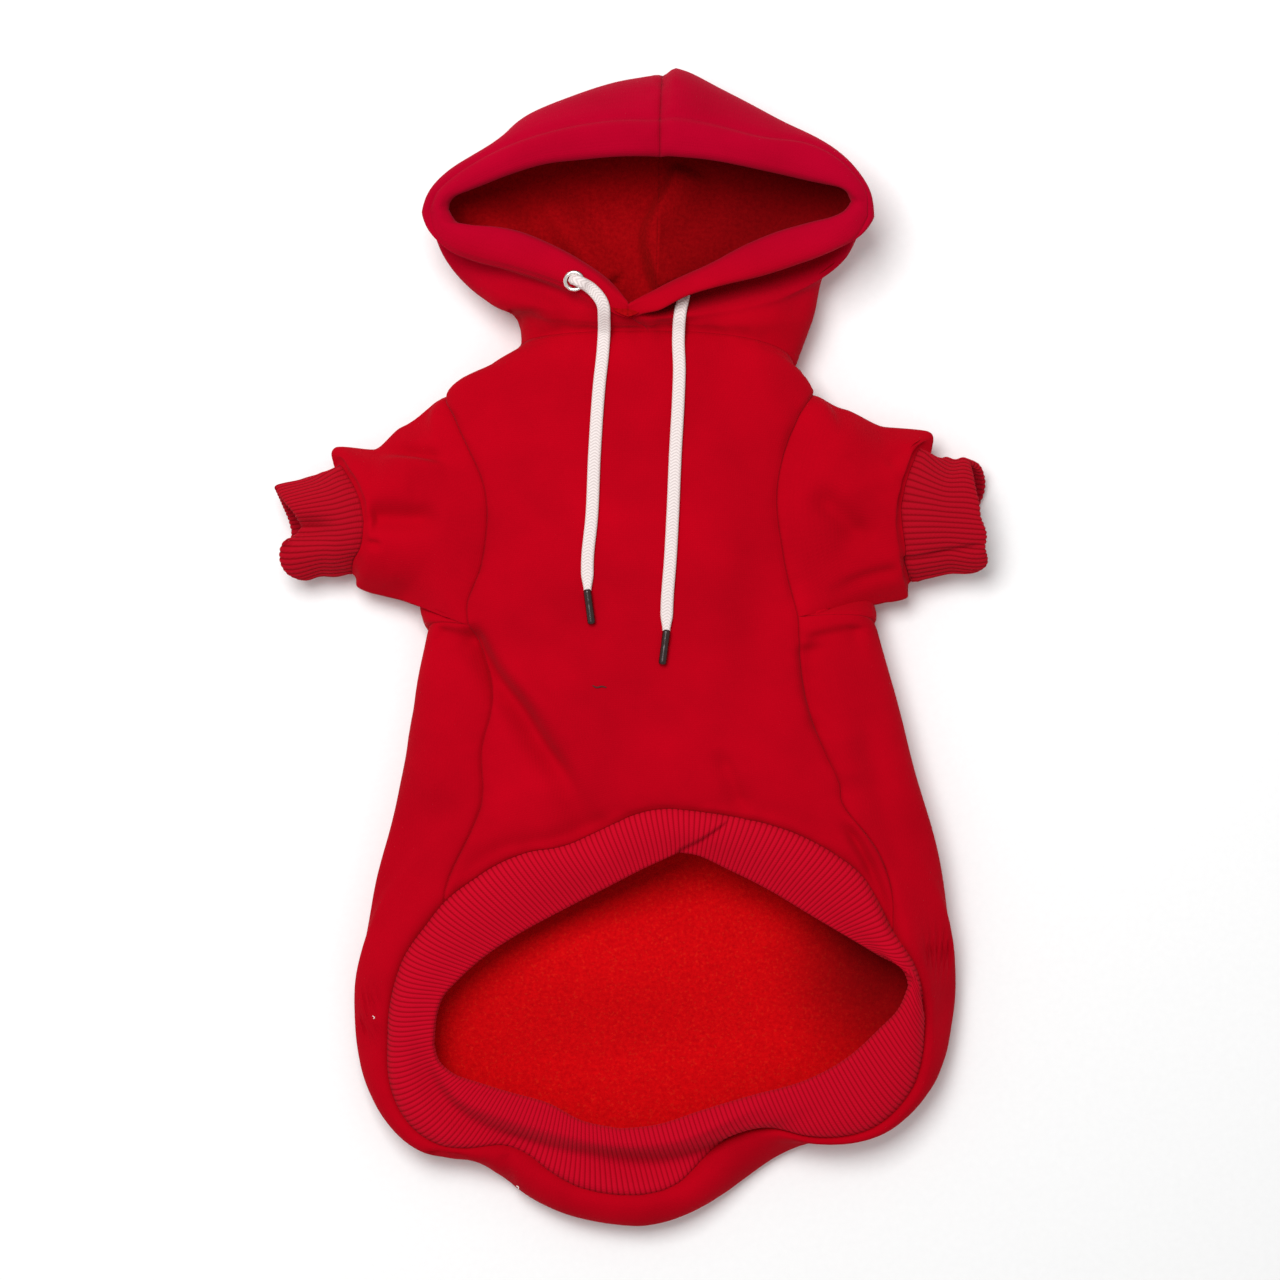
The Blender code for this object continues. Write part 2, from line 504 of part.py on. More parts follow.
def cord_path(side, surface):
    """Points of a free cord end, evenly spaced along a smooth curve, on the garment.

    The first points clear the eyelet that the cord comes out of.
    """
    route = np.array(CORD_ROUTES[side])
    chord = np.concatenate([[0.0], np.cumsum(np.linalg.norm(np.diff(route, axis=0), axis=1))])
    dense = curve_through(chord, route, np.linspace(0.0, chord[-1], 200))
    run = np.concatenate([[0.0], np.cumsum(np.linalg.norm(np.diff(dense, axis=0), axis=1))])
    where = np.linspace(0.0, run[-1], int(round(run[-1] / (CORD_POINT_STEP * CORD_WIDTH))) + 1)
    plan = np.stack([np.interp(where, run, dense[:, axis]) for axis in range(2)], axis=1)
    lift = 0.5 * CORD_THICKNESS + 2.0 * REST_GAP
    height = np.array([height_at(surface, place, CORD_WIDTH) for place in plan])
    height = np.maximum(height, np.convolve(np.pad(height, 1, "edge"), (0.25, 0.5, 0.25), "valid"))
    height += EYELET_RISE * np.exp(-(where / EYELET_OUTER) ** 2)
    return np.column_stack([plan, height + lift])


def cord_profile():
    """The flat braid's outline, a guide for the cords' curves."""
    curve = bpy.data.curves.new("cord_profile", "CURVE")
    curve.dimensions = "2D"
    spline = curve.splines.new("POLY")
    spline.points.add(CORD_SIDES - 1)
    for index, point in enumerate(spline.points):
        angle = -2.0 * pi * (index + 0.5) / CORD_SIDES
        point.co = (0.5 * CORD_WIDTH * np.cos(angle), 0.5 * CORD_THICKNESS * np.sin(angle), 0.0, 1.0)
    spline.use_cyclic_u = True
    obj = bpy.data.objects.new("cord_profile", curve)
    bpy.data.collections["guides"].objects.link(obj)
    obj.hide_render = True
    obj.display_type = "WIRE"
    return obj


def add_cord(side, path, profile, finish):
    """A free end of the drawcord, narrowed where its tip grips it."""
    curve = bpy.data.curves.new("drawcord_" + side, "CURVE")
    curve.dimensions = "3D"
    curve.twist_mode = "Z_UP"
    curve.bevel_mode = "OBJECT"
    curve.bevel_object = profile
    curve.use_fill_caps = True
    spline = curve.splines.new("POLY")
    spline.points.add(len(path) - 1)
    for point, place in zip(spline.points, path):
        point.co = (*place, 1.0)
    spline.points[0].radius = CORD_START
    spline.points[-1].radius = CORD_GRIPPED
    add_object("drawcord_" + side, curve, finish)


def add_aglet(side, path, surface, finish):
    """The hard tip at a cord's end, in line with it and lying on the garment."""
    start = Vector(path[-1])
    x, y = AGLET_ENDS[side]
    middle = (0.5 * (start.x + x), 0.5 * (start.y + y))
    height = max(height_at(surface, place, AGLET_DIAMETER) for place in (tuple(start)[:2], middle, (x, y)))
    start.z = height + 0.5 * AGLET_DIAMETER + REST_GAP
    direction = (Vector((x, y, start.z)) - start).normalized()
    bpy.ops.mesh.primitive_cylinder_add(vertices=AGLET_SIDES, radius=0.5 * AGLET_DIAMETER, depth=AGLET_LENGTH)
    obj = bpy.context.object
    obj.name = "aglet_" + side
    obj.data.name = obj.name
    obj.rotation_mode = "QUATERNION"
    obj.rotation_quaternion = direction.to_track_quat("Z", "Y")
    obj.location = start + direction * (REST_GAP + 0.5 * AGLET_LENGTH)
    for collection in list(obj.users_collection):
        collection.objects.unlink(obj)
    bpy.data.collections["dog_hoodie"].objects.link(obj)
    obj.data.materials.append(finish)


def eyelet_seat(side, surface):
    """Where an eyelet sits: the middle of its underside on the casing, and its axis."""
    station, turn = EYELET_PLACES[side]
    stations = station + STATION_STEP * np.array([-1.0, 0.0, 1.0])
    turns = np.broadcast_to(turn + TURN_STEP * np.array([-1.0, 0.0, 1.0]), (3, 3))
    around = tube(stations, turns)
    axis = facing(around[1, 2] - around[1, 0], around[2, 1] - around[0, 1])
    offset = surface - around[1, 1]
    above = offset @ axis
    beside = np.linalg.norm(offset - above[:, None] * axis, axis=1)
    rise = above[beside < 0.5 * EYELET_OUTER + REST_GAP].max() + REST_GAP
    return Vector(around[1, 1] + rise * axis), Vector(axis)


def add_eyelet(side, surface, finish):
    """A metal eyelet on the casing: a turned ring lying on the cloth."""
    seat, axis = eyelet_seat(side, surface)
    inner, outer = 0.5 * EYELET_INNER, 0.5 * EYELET_OUTER
    profile = ((outer, 0.3 * EYELET_HEIGHT), (outer, 0.0), (inner, 0.0), (inner, 0.5 * EYELET_HEIGHT),
               (0.5 * (inner + outer), EYELET_HEIGHT))
    corners = len(profile)
    mesh = bpy.data.meshes.new("eyelet_" + side)
    mesh.from_pydata([(x, 0.0, z) for x, z in profile], [(i, (i + 1) % corners) for i in range(corners)], [])
    obj = add_object("eyelet_" + side, mesh, finish)
    turned = obj.modifiers.new("turned", "SCREW")
    turned.axis = "Z"
    turned.angle = 2.0 * pi
    turned.steps = EYELET_STEPS
    turned.render_steps = EYELET_STEPS
    turned.use_merge_vertices = True
    turned.merge_threshold = 0.00005
    obj.rotation_mode = "QUATERNION"
    obj.rotation_quaternion = axis.to_track_quat("Z", "Y")
    obj.location = seat


def build():
    """Build every piece of the hoodie."""
    for old in list(bpy.data.objects):
        bpy.data.objects.remove(old, do_unlink=True)
    for name in ("dog_hoodie", "guides"):
        bpy.context.scene.collection.children.link(bpy.data.collections.new(name))
    fleece = material("red sweatshirt fleece", RED_FLEECE, 0.9)
    hood_cloth = material("red hood fleece", RED_HOOD, 0.9)
    rib = material("red rib knit", RED_RIB, 0.92)
    white = material("white braided cord", WHITE_CORD, 0.8)
    black = material("black cord tip", BLACK_TIP, 0.35)
    metal = material("bright nickel eyelet", BRIGHT_METAL, 0.25, 1.0)

    stations = body_stations()
    left_front, left_back = seam_turns(stations, "left")
    right_front, right_back = seam_turns(stations, "right")
    for name, turns in (("belly_panel", spread(-left_front, right_front, BELLY_COLUMNS)),
                        ("back_panel", spread(right_back, 4.0 - left_back, BACK_COLUMNS))):
        normals = tube_normals(stations, turns)
        add_cloth(name, trimmed(tube(stations, turns), normals), normals, FLEECE_WALL, fleece)

    stations = np.linspace(0.0, 1.0, BAND_ROWS)
    turns = np.concatenate([spread(-left_front[:1], right_front[:1], BELLY_COLUMNS)[0, :-1],
                            spread(right_back[:1], 4.0 - left_back[:1], BACK_COLUMNS)[0, :-1]])
    turns = np.broadcast_to(turns, (BAND_ROWS, len(turns)))
    normals = tube_normals(stations, turns)
    band = trimmed(tube(stations, turns), normals, rows=(False, True), columns=(False, False))
    add_cloth("hem_band", band, normals, RIB_WALL, rib, closed=True)

    stations = np.concatenate([np.linspace(NECK, CASING_SEAM, HOOD_ROWS - CASING_ROWS + 1)[:-1],
                               np.linspace(CASING_SEAM, HOOD_EDGE, CASING_ROWS)])
    to_shoulder = np.linspace(0.0, 1.0, BELLY_COLUMNS // 2 + 1)
    to_back = np.linspace(1.0, 2.0, BACK_COLUMNS // 2 + 1)
    right_turns = np.concatenate([to_shoulder, to_back[1:]])
    for name, turns in (("hood_right", right_turns), ("hood_left", 4.0 - right_turns[::-1])):
        turns = np.broadcast_to(turns, (len(stations), len(turns)))
        padding = smooth_step(np.minimum(turns, 4.0 - turns) / CASING_TAPER)
        padding = padding * (stations >= CASING_SEAM)[:, None]
        wall = FLEECE_WALL + (CASING_WALL - FLEECE_WALL) * padding[..., None]
        normals = tube_normals(stations, turns)
        half = trimmed(tube(stations, turns), normals, rows=(True, False))
        add_cloth(name, half, normals, wall, hood_cloth)

    for side in ("left", "right"):
        grid, normals, seam = arm_grid(side)
        sleeve = trimmed(grid[:seam + 1], normals[:seam + 1], columns=(False, False))
        add_cloth("sleeve_" + side, sleeve, normals[:seam + 1], FLEECE_WALL, fleece, closed=True)
        cuff = trimmed(grid[seam:], normals[seam:], rows=(True, False), columns=(False, False))
        add_cloth("cuff_" + side, cuff, normals[seam:], RIB_WALL, rib, closed=True)

    profile = cord_profile()
    surface = upper_surface()
    for side in ("left", "right"):
        path = cord_path(side, surface)
        add_cord(side, path, profile, white)
        add_aglet(side, path, surface, black)
        add_eyelet(side, surface, metal)


build()
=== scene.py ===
"""A dog's hoodie of red sweatshirt fleece, lying on its back with the belly side up.

The garment is one long tube of cloth with a mouth at each end, the hem and the face opening, cut
into panels along its seams. Every cloth piece here is worked out on the same tube as the solids
of the frame, on a much finer grid, and then gets its folds, its ribs, its rolled and rounded
edges and its sunk seams. Metres, +Z up, +Y from the hem to the hood.
"""
import logging
import math
from dataclasses import dataclass
from enum import Enum
from functools import lru_cache

import bpy
import numpy as np
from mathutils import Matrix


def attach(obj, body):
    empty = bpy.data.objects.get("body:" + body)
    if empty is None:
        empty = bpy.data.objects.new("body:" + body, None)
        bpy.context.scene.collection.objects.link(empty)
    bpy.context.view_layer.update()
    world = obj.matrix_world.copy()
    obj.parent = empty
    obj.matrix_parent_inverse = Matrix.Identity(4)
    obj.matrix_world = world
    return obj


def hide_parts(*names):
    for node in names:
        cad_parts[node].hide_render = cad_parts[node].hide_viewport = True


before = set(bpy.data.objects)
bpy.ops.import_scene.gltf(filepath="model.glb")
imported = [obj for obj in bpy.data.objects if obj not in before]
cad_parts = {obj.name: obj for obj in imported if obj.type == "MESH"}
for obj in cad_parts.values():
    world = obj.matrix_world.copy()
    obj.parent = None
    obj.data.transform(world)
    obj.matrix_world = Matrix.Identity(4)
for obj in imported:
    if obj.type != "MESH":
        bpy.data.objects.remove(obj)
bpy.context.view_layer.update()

log = logging.getLogger("dog_hoodie")
Array = np.ndarray
Place = tuple[float, float]
Point = tuple[float, float, float]
Piece = bpy.types.Object
Material = bpy.types.Material
Tree = bpy.types.NodeTree
Node = bpy.types.Node
Socket = bpy.types.NodeSocket

BODY = "root"
MM = 0.001
PHOTO_MIDDLE = (631.0, 648.0)       # the photograph's pixel over the origin, of 1280 x 1280
PHOTO_SCALE = 0.48 * MM             # metres to a pixel
SIDE_SEAM_DEPTH = 1.0 * MM          # of the groove in which two panels meet
NECK_SEAM_DEPTH = 0.5 * MM
BAND_SEAM_DEPTH = 1.7 * MM
SEAM_WIDTH = 1.9 * MM
PAINTED_SHEEN_START = 0.150                 # y at which the hood's painted sheen and shade, a pinker and darker red, sets in, and is full
PAINTED_SHEEN_END = 0.215


def on_plan(places: tuple[Place, ...]) -> Array:
    """Turn places in the photograph's frame into x and y on the plan.

    Args:
        places: pixels across and down.

    Returns:
        One row of x and y in metres for each place.
    """
    pixels = np.array(places, dtype=float)
    return (pixels - PHOTO_MIDDLE) * PHOTO_SCALE * np.array([1.0, -1.0])


def smooth_step(value: Array) -> Array:
    """0 below 0, 1 above 1, and the cubic 3v^2 - 2v^3 between."""
    value = np.clip(value, 0.0, 1.0)
    return value * value * (3.0 - 2.0 * value)


def unit(vectors: Array) -> Array:
    """Each vector divided by its length."""
    return vectors / np.maximum(np.linalg.norm(vectors, axis=-1, keepdims=True), 1e-12)


def curve_through(knots: Array, values: Array, where: Array) -> Array:
    """Follow a smooth curve through known values.

    Between two knots it is the cubic Hermite curve whose slopes come from the neighbouring knots.

    Args:
        knots: rising parameters of the known values.
        values: one row for each knot.
        where: parameters at which the curve is wanted.

    Returns:
        One row for each wanted parameter.
    """
    slopes = np.gradient(values, knots, axis=0)
    index = np.clip(np.searchsorted(knots, where, side="right") - 1, 0, len(knots) - 2)
    step = (knots[index + 1] - knots[index])[:, None]
    share = (where - knots[index])[:, None] / step
    start, end = values[index], values[index + 1]
    return (start * (1 + 2 * share) * (1 - share) ** 2 + slopes[index] * step * share * (1 - share) ** 2
            + end * share ** 2 * (3 - 2 * share) + slopes[index + 1] * step * share ** 2 * (share - 1))


def run_length(points: Array, axis: int = 0) -> Array:
    """Add up the distances along a line of points, or along each line of a grid.

    Args:
        points: the line or the grid.
        axis: the axis along which the lines run.

    Returns:
        Each point's distance from its line's first point.
    """
    steps = np.linalg.norm(np.diff(points, axis=axis), axis=-1)
    pad = [(0, 0)] * steps.ndim
    pad[axis] = (1, 0)
    return np.cumsum(np.pad(steps, pad), axis=axis)


def even_line(points: Array, count: int) -> Array:
    """Find points at even distances along a smooth line through a few places.

    Args:
        points: the places, as rows of two or three coordinates.
        count: how many points are wanted.

    Returns:
        The evenly spaced points.
    """
    chord = run_length(points)
    dense = curve_through(chord, points, np.linspace(0.0, chord[-1], 8 * count))
    run = run_length(dense)
    where = np.linspace(0.0, run[-1], count)
    return np.stack([np.interp(where, run, dense[:, axis]) for axis in range(points.shape[1])], axis=1)


@dataclass(frozen=True)
class Ripple:
    """Gentle unevenness: a sum of plane waves whose directions come from a seed."""

    length: float
    height: float
    seed: int
    waves: int = 14

    def at(self, points: Array) -> Array:
        """Add up height/sqrt(waves) * sin(k.p + phase) over the waves, |k| near 2 pi / length.

        Args:
            points: places in metres, three coordinates each.

        Returns:
            A height for each place.
        """
        draw = np.random.default_rng(self.seed)
        directions = unit(draw.normal(size=(self.waves, 3)))
        lengths = self.length * draw.uniform(0.7, 1.5, self.waves)
        phases = draw.uniform(0.0, 2.0 * math.pi, self.waves)
        total = np.zeros(points.shape[:-1])
        for direction, length, phase in zip(directions, lengths, phases):
            total += np.sin(points @ direction * (2.0 * math.pi / length) + phase)
        return total * self.height / math.sqrt(self.waves)


@dataclass(frozen=True)
class Crease:
    """A fold, groove or dent along a line on the plan.

    line holds its places in the photograph's frame. height is in millimetres, negative for a
    groove, and left and right are its widths to either side of the line's direction. fade is the
    share of the line over which it dies away at its start and at its end. The line is followed in
    as many places as places says, and beyond reach widths the crease is nothing.
    """

    name: str
    line: tuple[Place, ...]
    height: float
    left: float
    right: float
    fade: Place = (0.3, 0.3)
    places: int = 24
    reach: float = 3.2

    def at(self, points: Array) -> Array:
        """Height times exp(-(d/width)^2), d being the distance to the line.

        Args:
            points: places whose first two coordinates are read.

        Returns:
            A height for each place, in metres.
        """
        spine = even_line(on_plan(self.line), self.places)
        flat = points[..., :2].reshape(-1, 2)
        reach = self.reach * max(self.left, self.right) * MM
        low, high = spine.min(axis=0) - reach, spine.max(axis=0) + reach
        near = np.all((flat > low) & (flat < high), axis=1)
        height = np.zeros(len(flat))
        here = flat[near]
        if len(here):
            best = np.full(len(here), np.inf)
            signed = np.zeros(len(here))
            along = np.zeros(len(here))
            for index, (start, end) in enumerate(zip(spine[:-1], spine[1:])):
                leg = end - start
                share = np.clip((here - start) @ leg / (leg @ leg), 0.0, 1.0)
                off = here - start - share[:, None] * leg
                distance = np.hypot(off[:, 0], off[:, 1])
                side = leg[0] * off[:, 1] - leg[1] * off[:, 0]
                closer = distance < best
                best = np.where(closer, distance, best)
                signed = np.where(closer, side, signed)
                along = np.where(closer, (index + share) / (len(spine) - 1), along)
            width = np.where(signed > 0.0, self.left, self.right) * MM
            taper = (smooth_step(along / max(self.fade[0], 1e-6))
                     * smooth_step((1.0 - along) / max(self.fade[1], 1e-6)))
            height[near] = self.height * MM * taper * np.exp(-(best / width) ** 2)
        return height.reshape(points.shape[:-1])


@dataclass(frozen=True)
class Mound:
    """A swell, or a hollow where its height is negative, with an oval foot.

    middle is its place in the photograph's frame, height and radii are in millimetres, and turned
    is the angle of its first radius from +X, in degrees.
    """

    name: str
    middle: Place
    height: float
    radii: Place
    turned: float = 0.0

    def at(self, points: Array) -> Array:
        """Height times exp(-(a/r1)^2 - (b/r2)^2), a and b being distances along the oval's axes.

        Args:
            points: places whose first two coordinates are read.

        Returns:
            A height for each place, in metres.
        """
        off = (points[..., :2] - on_plan((self.middle,))[0]) / MM
        angle = math.radians(self.turned)
        along = off @ np.array([math.cos(angle), math.sin(angle)]) / self.radii[0]
        across = off @ np.array([-math.sin(angle), math.cos(angle)]) / self.radii[1]
        return self.height * MM * np.exp(-along ** 2 - across ** 2)


def relief(creases: tuple[Crease | Mound, ...], points: Array) -> Array:
    """Add up the heights of creases and mounds.

    Args:
        creases: the creases and mounds.
        points: places whose first two coordinates are read.

    Returns:
        A height for each place, in metres.
    """
    total = np.zeros(points.shape[:-1])
    for crease in creases:
        total += crease.at(points)
    return total


ROUNDED = ((0.85, 0.8), (0.7, 0.55), (0.7, 0.55), (0.85, 0.8))     # bends of cloth that lies by itself


@dataclass(frozen=True)
class Section:
    """One ring of the tube: its four points as shares of named sizes, and the bends between them.

    The points are the front, the right side, the back and the left side. Each pair of bends
    holds the exponents of a quarter at its middle and at its side: 1 is an ellipse, less is
    squarer and 2 is straight.
    """

    name: str
    front: Point
    right: Point
    back: Point
    left: Point
    bends: tuple[Place, Place, Place, Place] = ROUNDED


BODY_SECTIONS = (
    Section("band edge", (0.137, 0.583, 0.86), (0.910, 0.730, 0.72), (-0.037, 0.890, 0.60),
            (-0.657, 0.797, 0.68), ((1.7, 1.7), (1.2, 1.1), (1.5, 1.4), (1.5, 1.3))),
    Section("band seam", (0.137, 0.533, 0.98), (0.977, 0.769, 0.60), (0.013, 0.967, 0.55),
            (-0.820, 0.808, 0.58), ((1.0, 1.0), (1.3, 0.85), (1.3, 0.9), (1.15, 0.9))),
    Section("hip roll", (0.123, 0.502, 1.00), (1.077, 0.730, 0.36), (0.030, 1.001, 0.30),
            (-0.920, 0.769, 0.34), ((0.9, 0.9), (1.35, 0.87), (1.3, 0.87), (0.9, 1.0))),
    Section("hip floor", (0.110, 0.471, 1.00), (1.063, 0.697, 0.28), (0.037, 0.967, -0.05),
            (-0.900, 0.719, 0.27), ((0.85, 0.85), (1.2, 0.8), (1.2, 0.8), (0.9, 1.0))),
    Section("loin", (0.097, 0.438, 0.98), (1.025, 0.613, 0.32), (0.047, 0.791, -0.06),
            (-0.828, 0.617, 0.32), ((0.85, 0.8), (0.8, 0.65), (0.8, 0.65), (0.85, 0.8))),
    Section("waist", (0.083, 0.393, 0.97), (0.940, 0.502, 0.34), (0.063, 0.624, -0.06),
            (-0.760, 0.502, 0.34)),
    Section("rib", (0.070, 0.336, 0.96), (0.873, 0.402, 0.36), (0.063, 0.491, -0.06),
            (-0.707, 0.402, 0.36)),
    Section("armpit", (0.063, 0.269, 0.95), (0.803, 0.316, 0.40), (0.063, 0.374, -0.06),
            (-0.670, 0.316, 0.40)),
    Section("arm", (0.063, 0.158, 0.94), (0.690, 0.191, 0.42), (0.063, 0.241, -0.06),
            (-0.633, 0.191, 0.42)),
    Section("arm top", (0.063, 0.063, 0.92), (0.623, 0.080, 0.40), (0.063, 0.124, -0.06),
            (-0.633, 0.082, 0.40)),
    Section("shoulder", (0.063, 0.026, 0.90), (0.583, 0.060, 0.40), (0.063, 0.074, -0.06),
            (-0.473, 0.044, 0.38)),
    Section("neck", (0.057, 0.006, 0.86), (0.553, 0.048, 0.40), (0.063, 0.047, -0.06),
            (-0.373, 0.019, 0.36)),
)
HOOD_SECTIONS = (
    Section("throat", (0.040, 0.000, 0.68), (0.818, 0.038, 0.30), (0.107, 0.108, -0.04),
            (-0.529, 0.062, 0.27), ((0.9, 0.8), (0.7, 0.6), (0.7, 0.6), (0.9, 0.8))),
    Section("cheek", (0.022, 0.010, 0.71), (0.871, 0.231, 0.30), (0.120, 0.415, -0.04),
            (-0.716, 0.177, 0.25), ((1.1, 0.9), (0.8, 0.6), (0.8, 0.6), (1.1, 0.9))),
    Section("ear", (0.009, 0.020, 0.74), (1.000, 0.312, 0.36), (0.129, 0.762, -0.02),
            (-0.867, 0.300, 0.32), ((1.3, 1.0), (1.3, 1.1), (1.25, 1.05), (1.4, 1.0))),
    Section("crown", (-0.004, 0.030, 0.77), (1.062, 0.377, 0.52), (0.142, 0.969, 0.25),
            (-0.924, 0.385, 0.48), ((1.5, 1.1), (1.5, 1.3), (1.4, 1.25), (1.6, 1.1))),
    Section("crown top", (-0.013, 0.040, 0.80), (1.076, 0.423, 0.72), (0.138, 0.938, 0.62),
            (-0.933, 0.431, 0.70), ((1.7, 1.3), (1.4, 1.2), (1.3, 1.15), (1.8, 1.3))),
    Section("casing seam", (-0.018, 0.050, 0.81), (1.027, 0.454, 0.84), (0.129, 0.781, 0.93),
            (-0.880, 0.450, 0.82), ((1.9, 1.5), (1.1, 1.0), (1.1, 1.0), (1.9, 1.6))),
    Section("hood edge", (-0.022, 0.064, 0.84), (0.956, 0.462, 0.82), (0.129, 0.654, 0.98),
            (-0.760, 0.442, 0.80), ((1.9, 2.2), (1.0, 1.0), (1.0, 1.0), (1.9, 2.8))),
)


@dataclass(frozen=True)
class ArmSection:
    """One ring of a sleeve: its highest point, and those by the shoulder, the floor and the hem."""

    name: str
    high: Point
    top: Point
    floor: Point
    bottom: Point


LEFT_ARM = (
    ArmSection("root", (0.420, -0.05, 1.02), (0.540, 0.53, 0.46),
               (0.560, 0.00, -0.06), (0.545, -0.47, 0.46)),
    ArmSection("middle", (0.620, -0.05, 0.98), (0.700, 0.36, 0.46),
               (0.690, 0.00, -0.06), (0.700, -0.42, 0.44)),
    ArmSection("puff", (0.735, -0.06, 0.95), (0.830, 0.31, 0.48),
               (0.790, -0.01, -0.04), (0.775, -0.39, 0.42)),
    ArmSection("cuff seam", (0.765, -0.05, 0.88), (0.855, 0.21, 0.48),
               (0.815, -0.02, 0.02), (0.795, -0.32, 0.44)),
    ArmSection("cuff", (0.850, -0.06, 0.84), (0.928, 0.16, 0.48),
               (0.890, -0.04, 0.02), (0.885, -0.33, 0.44)),
    ArmSection("cuff edge", (0.942, -0.06, 0.78), (0.998, 0.12, 0.50),
               (0.962, -0.05, 0.04), (0.974, -0.28, 0.46)),
)
RIGHT_ARM = (
    ArmSection("root", (0.440, -0.05, 1.02), (0.525, 0.53, 0.46),
               (0.575, 0.00, -0.06), (0.580, -0.46, 0.46)),
    ArmSection("middle", (0.610, -0.01, 0.98), (0.655, 0.43, 0.46),
               (0.665, 0.00, -0.06), (0.700, -0.43, 0.44)),
    ArmSection("puff", (0.745, 0.01, 0.95), (0.815, 0.39, 0.48),
               (0.780, 0.00, -0.04), (0.785, -0.42, 0.42)),
    ArmSection("cuff seam", (0.765, 0.00, 0.88), (0.855, 0.31, 0.48),
               (0.815, -0.01, 0.02), (0.800, -0.34, 0.44)),
    ArmSection("cuff", (0.870, -0.01, 0.84), (0.925, 0.25, 0.48),
               (0.900, -0.03, 0.02), (0.895, -0.31, 0.44)),
    ArmSection("cuff edge", (0.975, -0.05, 0.78), (0.994, 0.18, 0.50),
               (0.976, -0.04, 0.04), (0.990, -0.25, 0.46)),
)


class Side(Enum):
    """The wearer's side as seen from above, with the sign of its x."""

    LEFT = -1
    RIGHT = 1

    @property
    def label(self) -> str:
        """The side's name as the nodes have it."""
        return self.name.lower()


@dataclass(frozen=True)
class Wave:
    """A place where the rolled end of the back is drawn in towards the ring's middle."""

    name: str
    turn: float
    width: float
    station: float
    spread: float
    draw: float


@dataclass(frozen=True)
class DrawnRing:
    """A line of the garment as the photograph has it, to which a ring of the tube is drawn.

    Its quarters end at the right, back, left and front, in the photograph's frame, and each starts
    where the one before it ends. The line acts fully at its station, and dies away over the spans
    below and above it.
    """

    name: str
    station: float
    below: float
    above: float
    quarters: tuple[tuple[Place, ...], ...]
    places: int = 101

    def at(self, turns: Array) -> Array:
        """Find places at turns round the line, each quarter by its length.

        Args:
            turns: the turns, from 0 at the front.

        Returns:
            x and y on the plan for each turn.
        """
        ends = [quarter[-1] for quarter in self.quarters]
        lines = [even_line(on_plan((start, *quarter)), self.places)
                 for start, quarter in zip(ends[-1:] + ends, self.quarters)]
        ring = np.concatenate([line[:-1] for line in lines] + [lines[-1][-1:]])
        known = np.linspace(0.0, 4.0, len(ring))
        return np.stack([np.interp(turns, known, ring[:, axis]) for axis in range(2)], axis=-1)

    def weight(self, stations: Array) -> Array:
        """Say how fully the line acts: 1 at its station and 0 beyond its spans, smooth between.

        Args:
            stations: the stations.

        Returns:
            A share for each station.
        """
        off = stations - self.station
        return np.where(off < 0.0, 1.0 - smooth_step(-off / max(self.below, 1e-6)),
                        1.0 - smooth_step(off / max(self.above, 1e-6)))


BAND_EDGE = DrawnRing("band edge", 0.0, 0.0, 1.0, (
    ((690, 852), (728, 868), (772, 890), (810, 913), (845, 934), (874, 951), (893, 963), (902, 973),
     (905, 985)),
    ((899, 1006), (876, 1033), (845, 1061), (804, 1084), (757, 1098), (700, 1114), (655, 1127), (620, 1130)),
    ((582, 1122), (549, 1106), (516, 1097), (481, 1085), (450, 1073), (437, 1061), (433, 1044)),
    ((435, 1018), (441, 997), (457, 979), (481, 957), (516, 933), (557, 911), (604, 887), (648, 864),
     (675, 851)),
))
BAND_SEAM = DrawnRing("band seam", 1.0, 1.0, 2.4, (
    ((725, 815), (787, 830), (828, 850), (862, 876), (880, 905), (895, 936), (912, 964), (920, 991),
     (924, 1017)),
    ((923, 1053), (915, 1085), (898, 1111), (875, 1131), (845, 1143), (816, 1147), (785, 1145), (753, 1147),
     (728, 1155), (704, 1171), (684, 1186), (660, 1195), (636, 1198)),
    ((608, 1196), (578, 1189), (551, 1176), (528, 1163), (500, 1155), (469, 1153), (437, 1146), (410, 1127),
     (393, 1100), (386, 1073), (385, 1050)),
    ((387, 1015), (393, 985), (404, 955), (425, 926), (447, 899), (472, 880), (499, 863), (530, 851),
     (563, 846), (592, 835), (621, 820), (650, 810), (672, 808)),
))

CASING_LINE = DrawnRing("casing's stitch line", 17.0, 1.5, 1.0, (
    ((655, 313), (684, 298), (720, 288), (760, 279), (800, 266), (830, 255), (856, 240), (866, 222)),
    ((866, 200), (850, 176), (830, 160), (808, 150), (761, 143), (712, 131), (660, 125)),
    ((612, 127), (570, 133), (532, 143), (505, 153), (480, 165), (455, 180), (436, 198), (431, 215)),
    ((434, 234), (450, 253), (480, 265), (510, 272), (540, 281), (572, 293), (600, 307), (617, 318),
     (628, 323)),
))
FACE_EDGE = DrawnRing("face opening's edge", 18.0, 1.0, 0.0, (
    ((650, 301), (678, 286), (712, 270), (745, 252), (778, 238), (812, 228), (836, 221), (847, 214),
     (850, 207)),
    ((846, 199), (830, 191), (811, 185), (761, 172), (712, 162), (660, 158)),
    ((612, 159), (578, 162), (546, 166), (513, 176), (484, 188), (463, 198), (450, 206), (448, 214)),
    ((453, 224), (470, 230), (492, 232), (513, 236), (546, 249), (579, 267), (606, 287), (620, 303),
     (628, 313)),
))
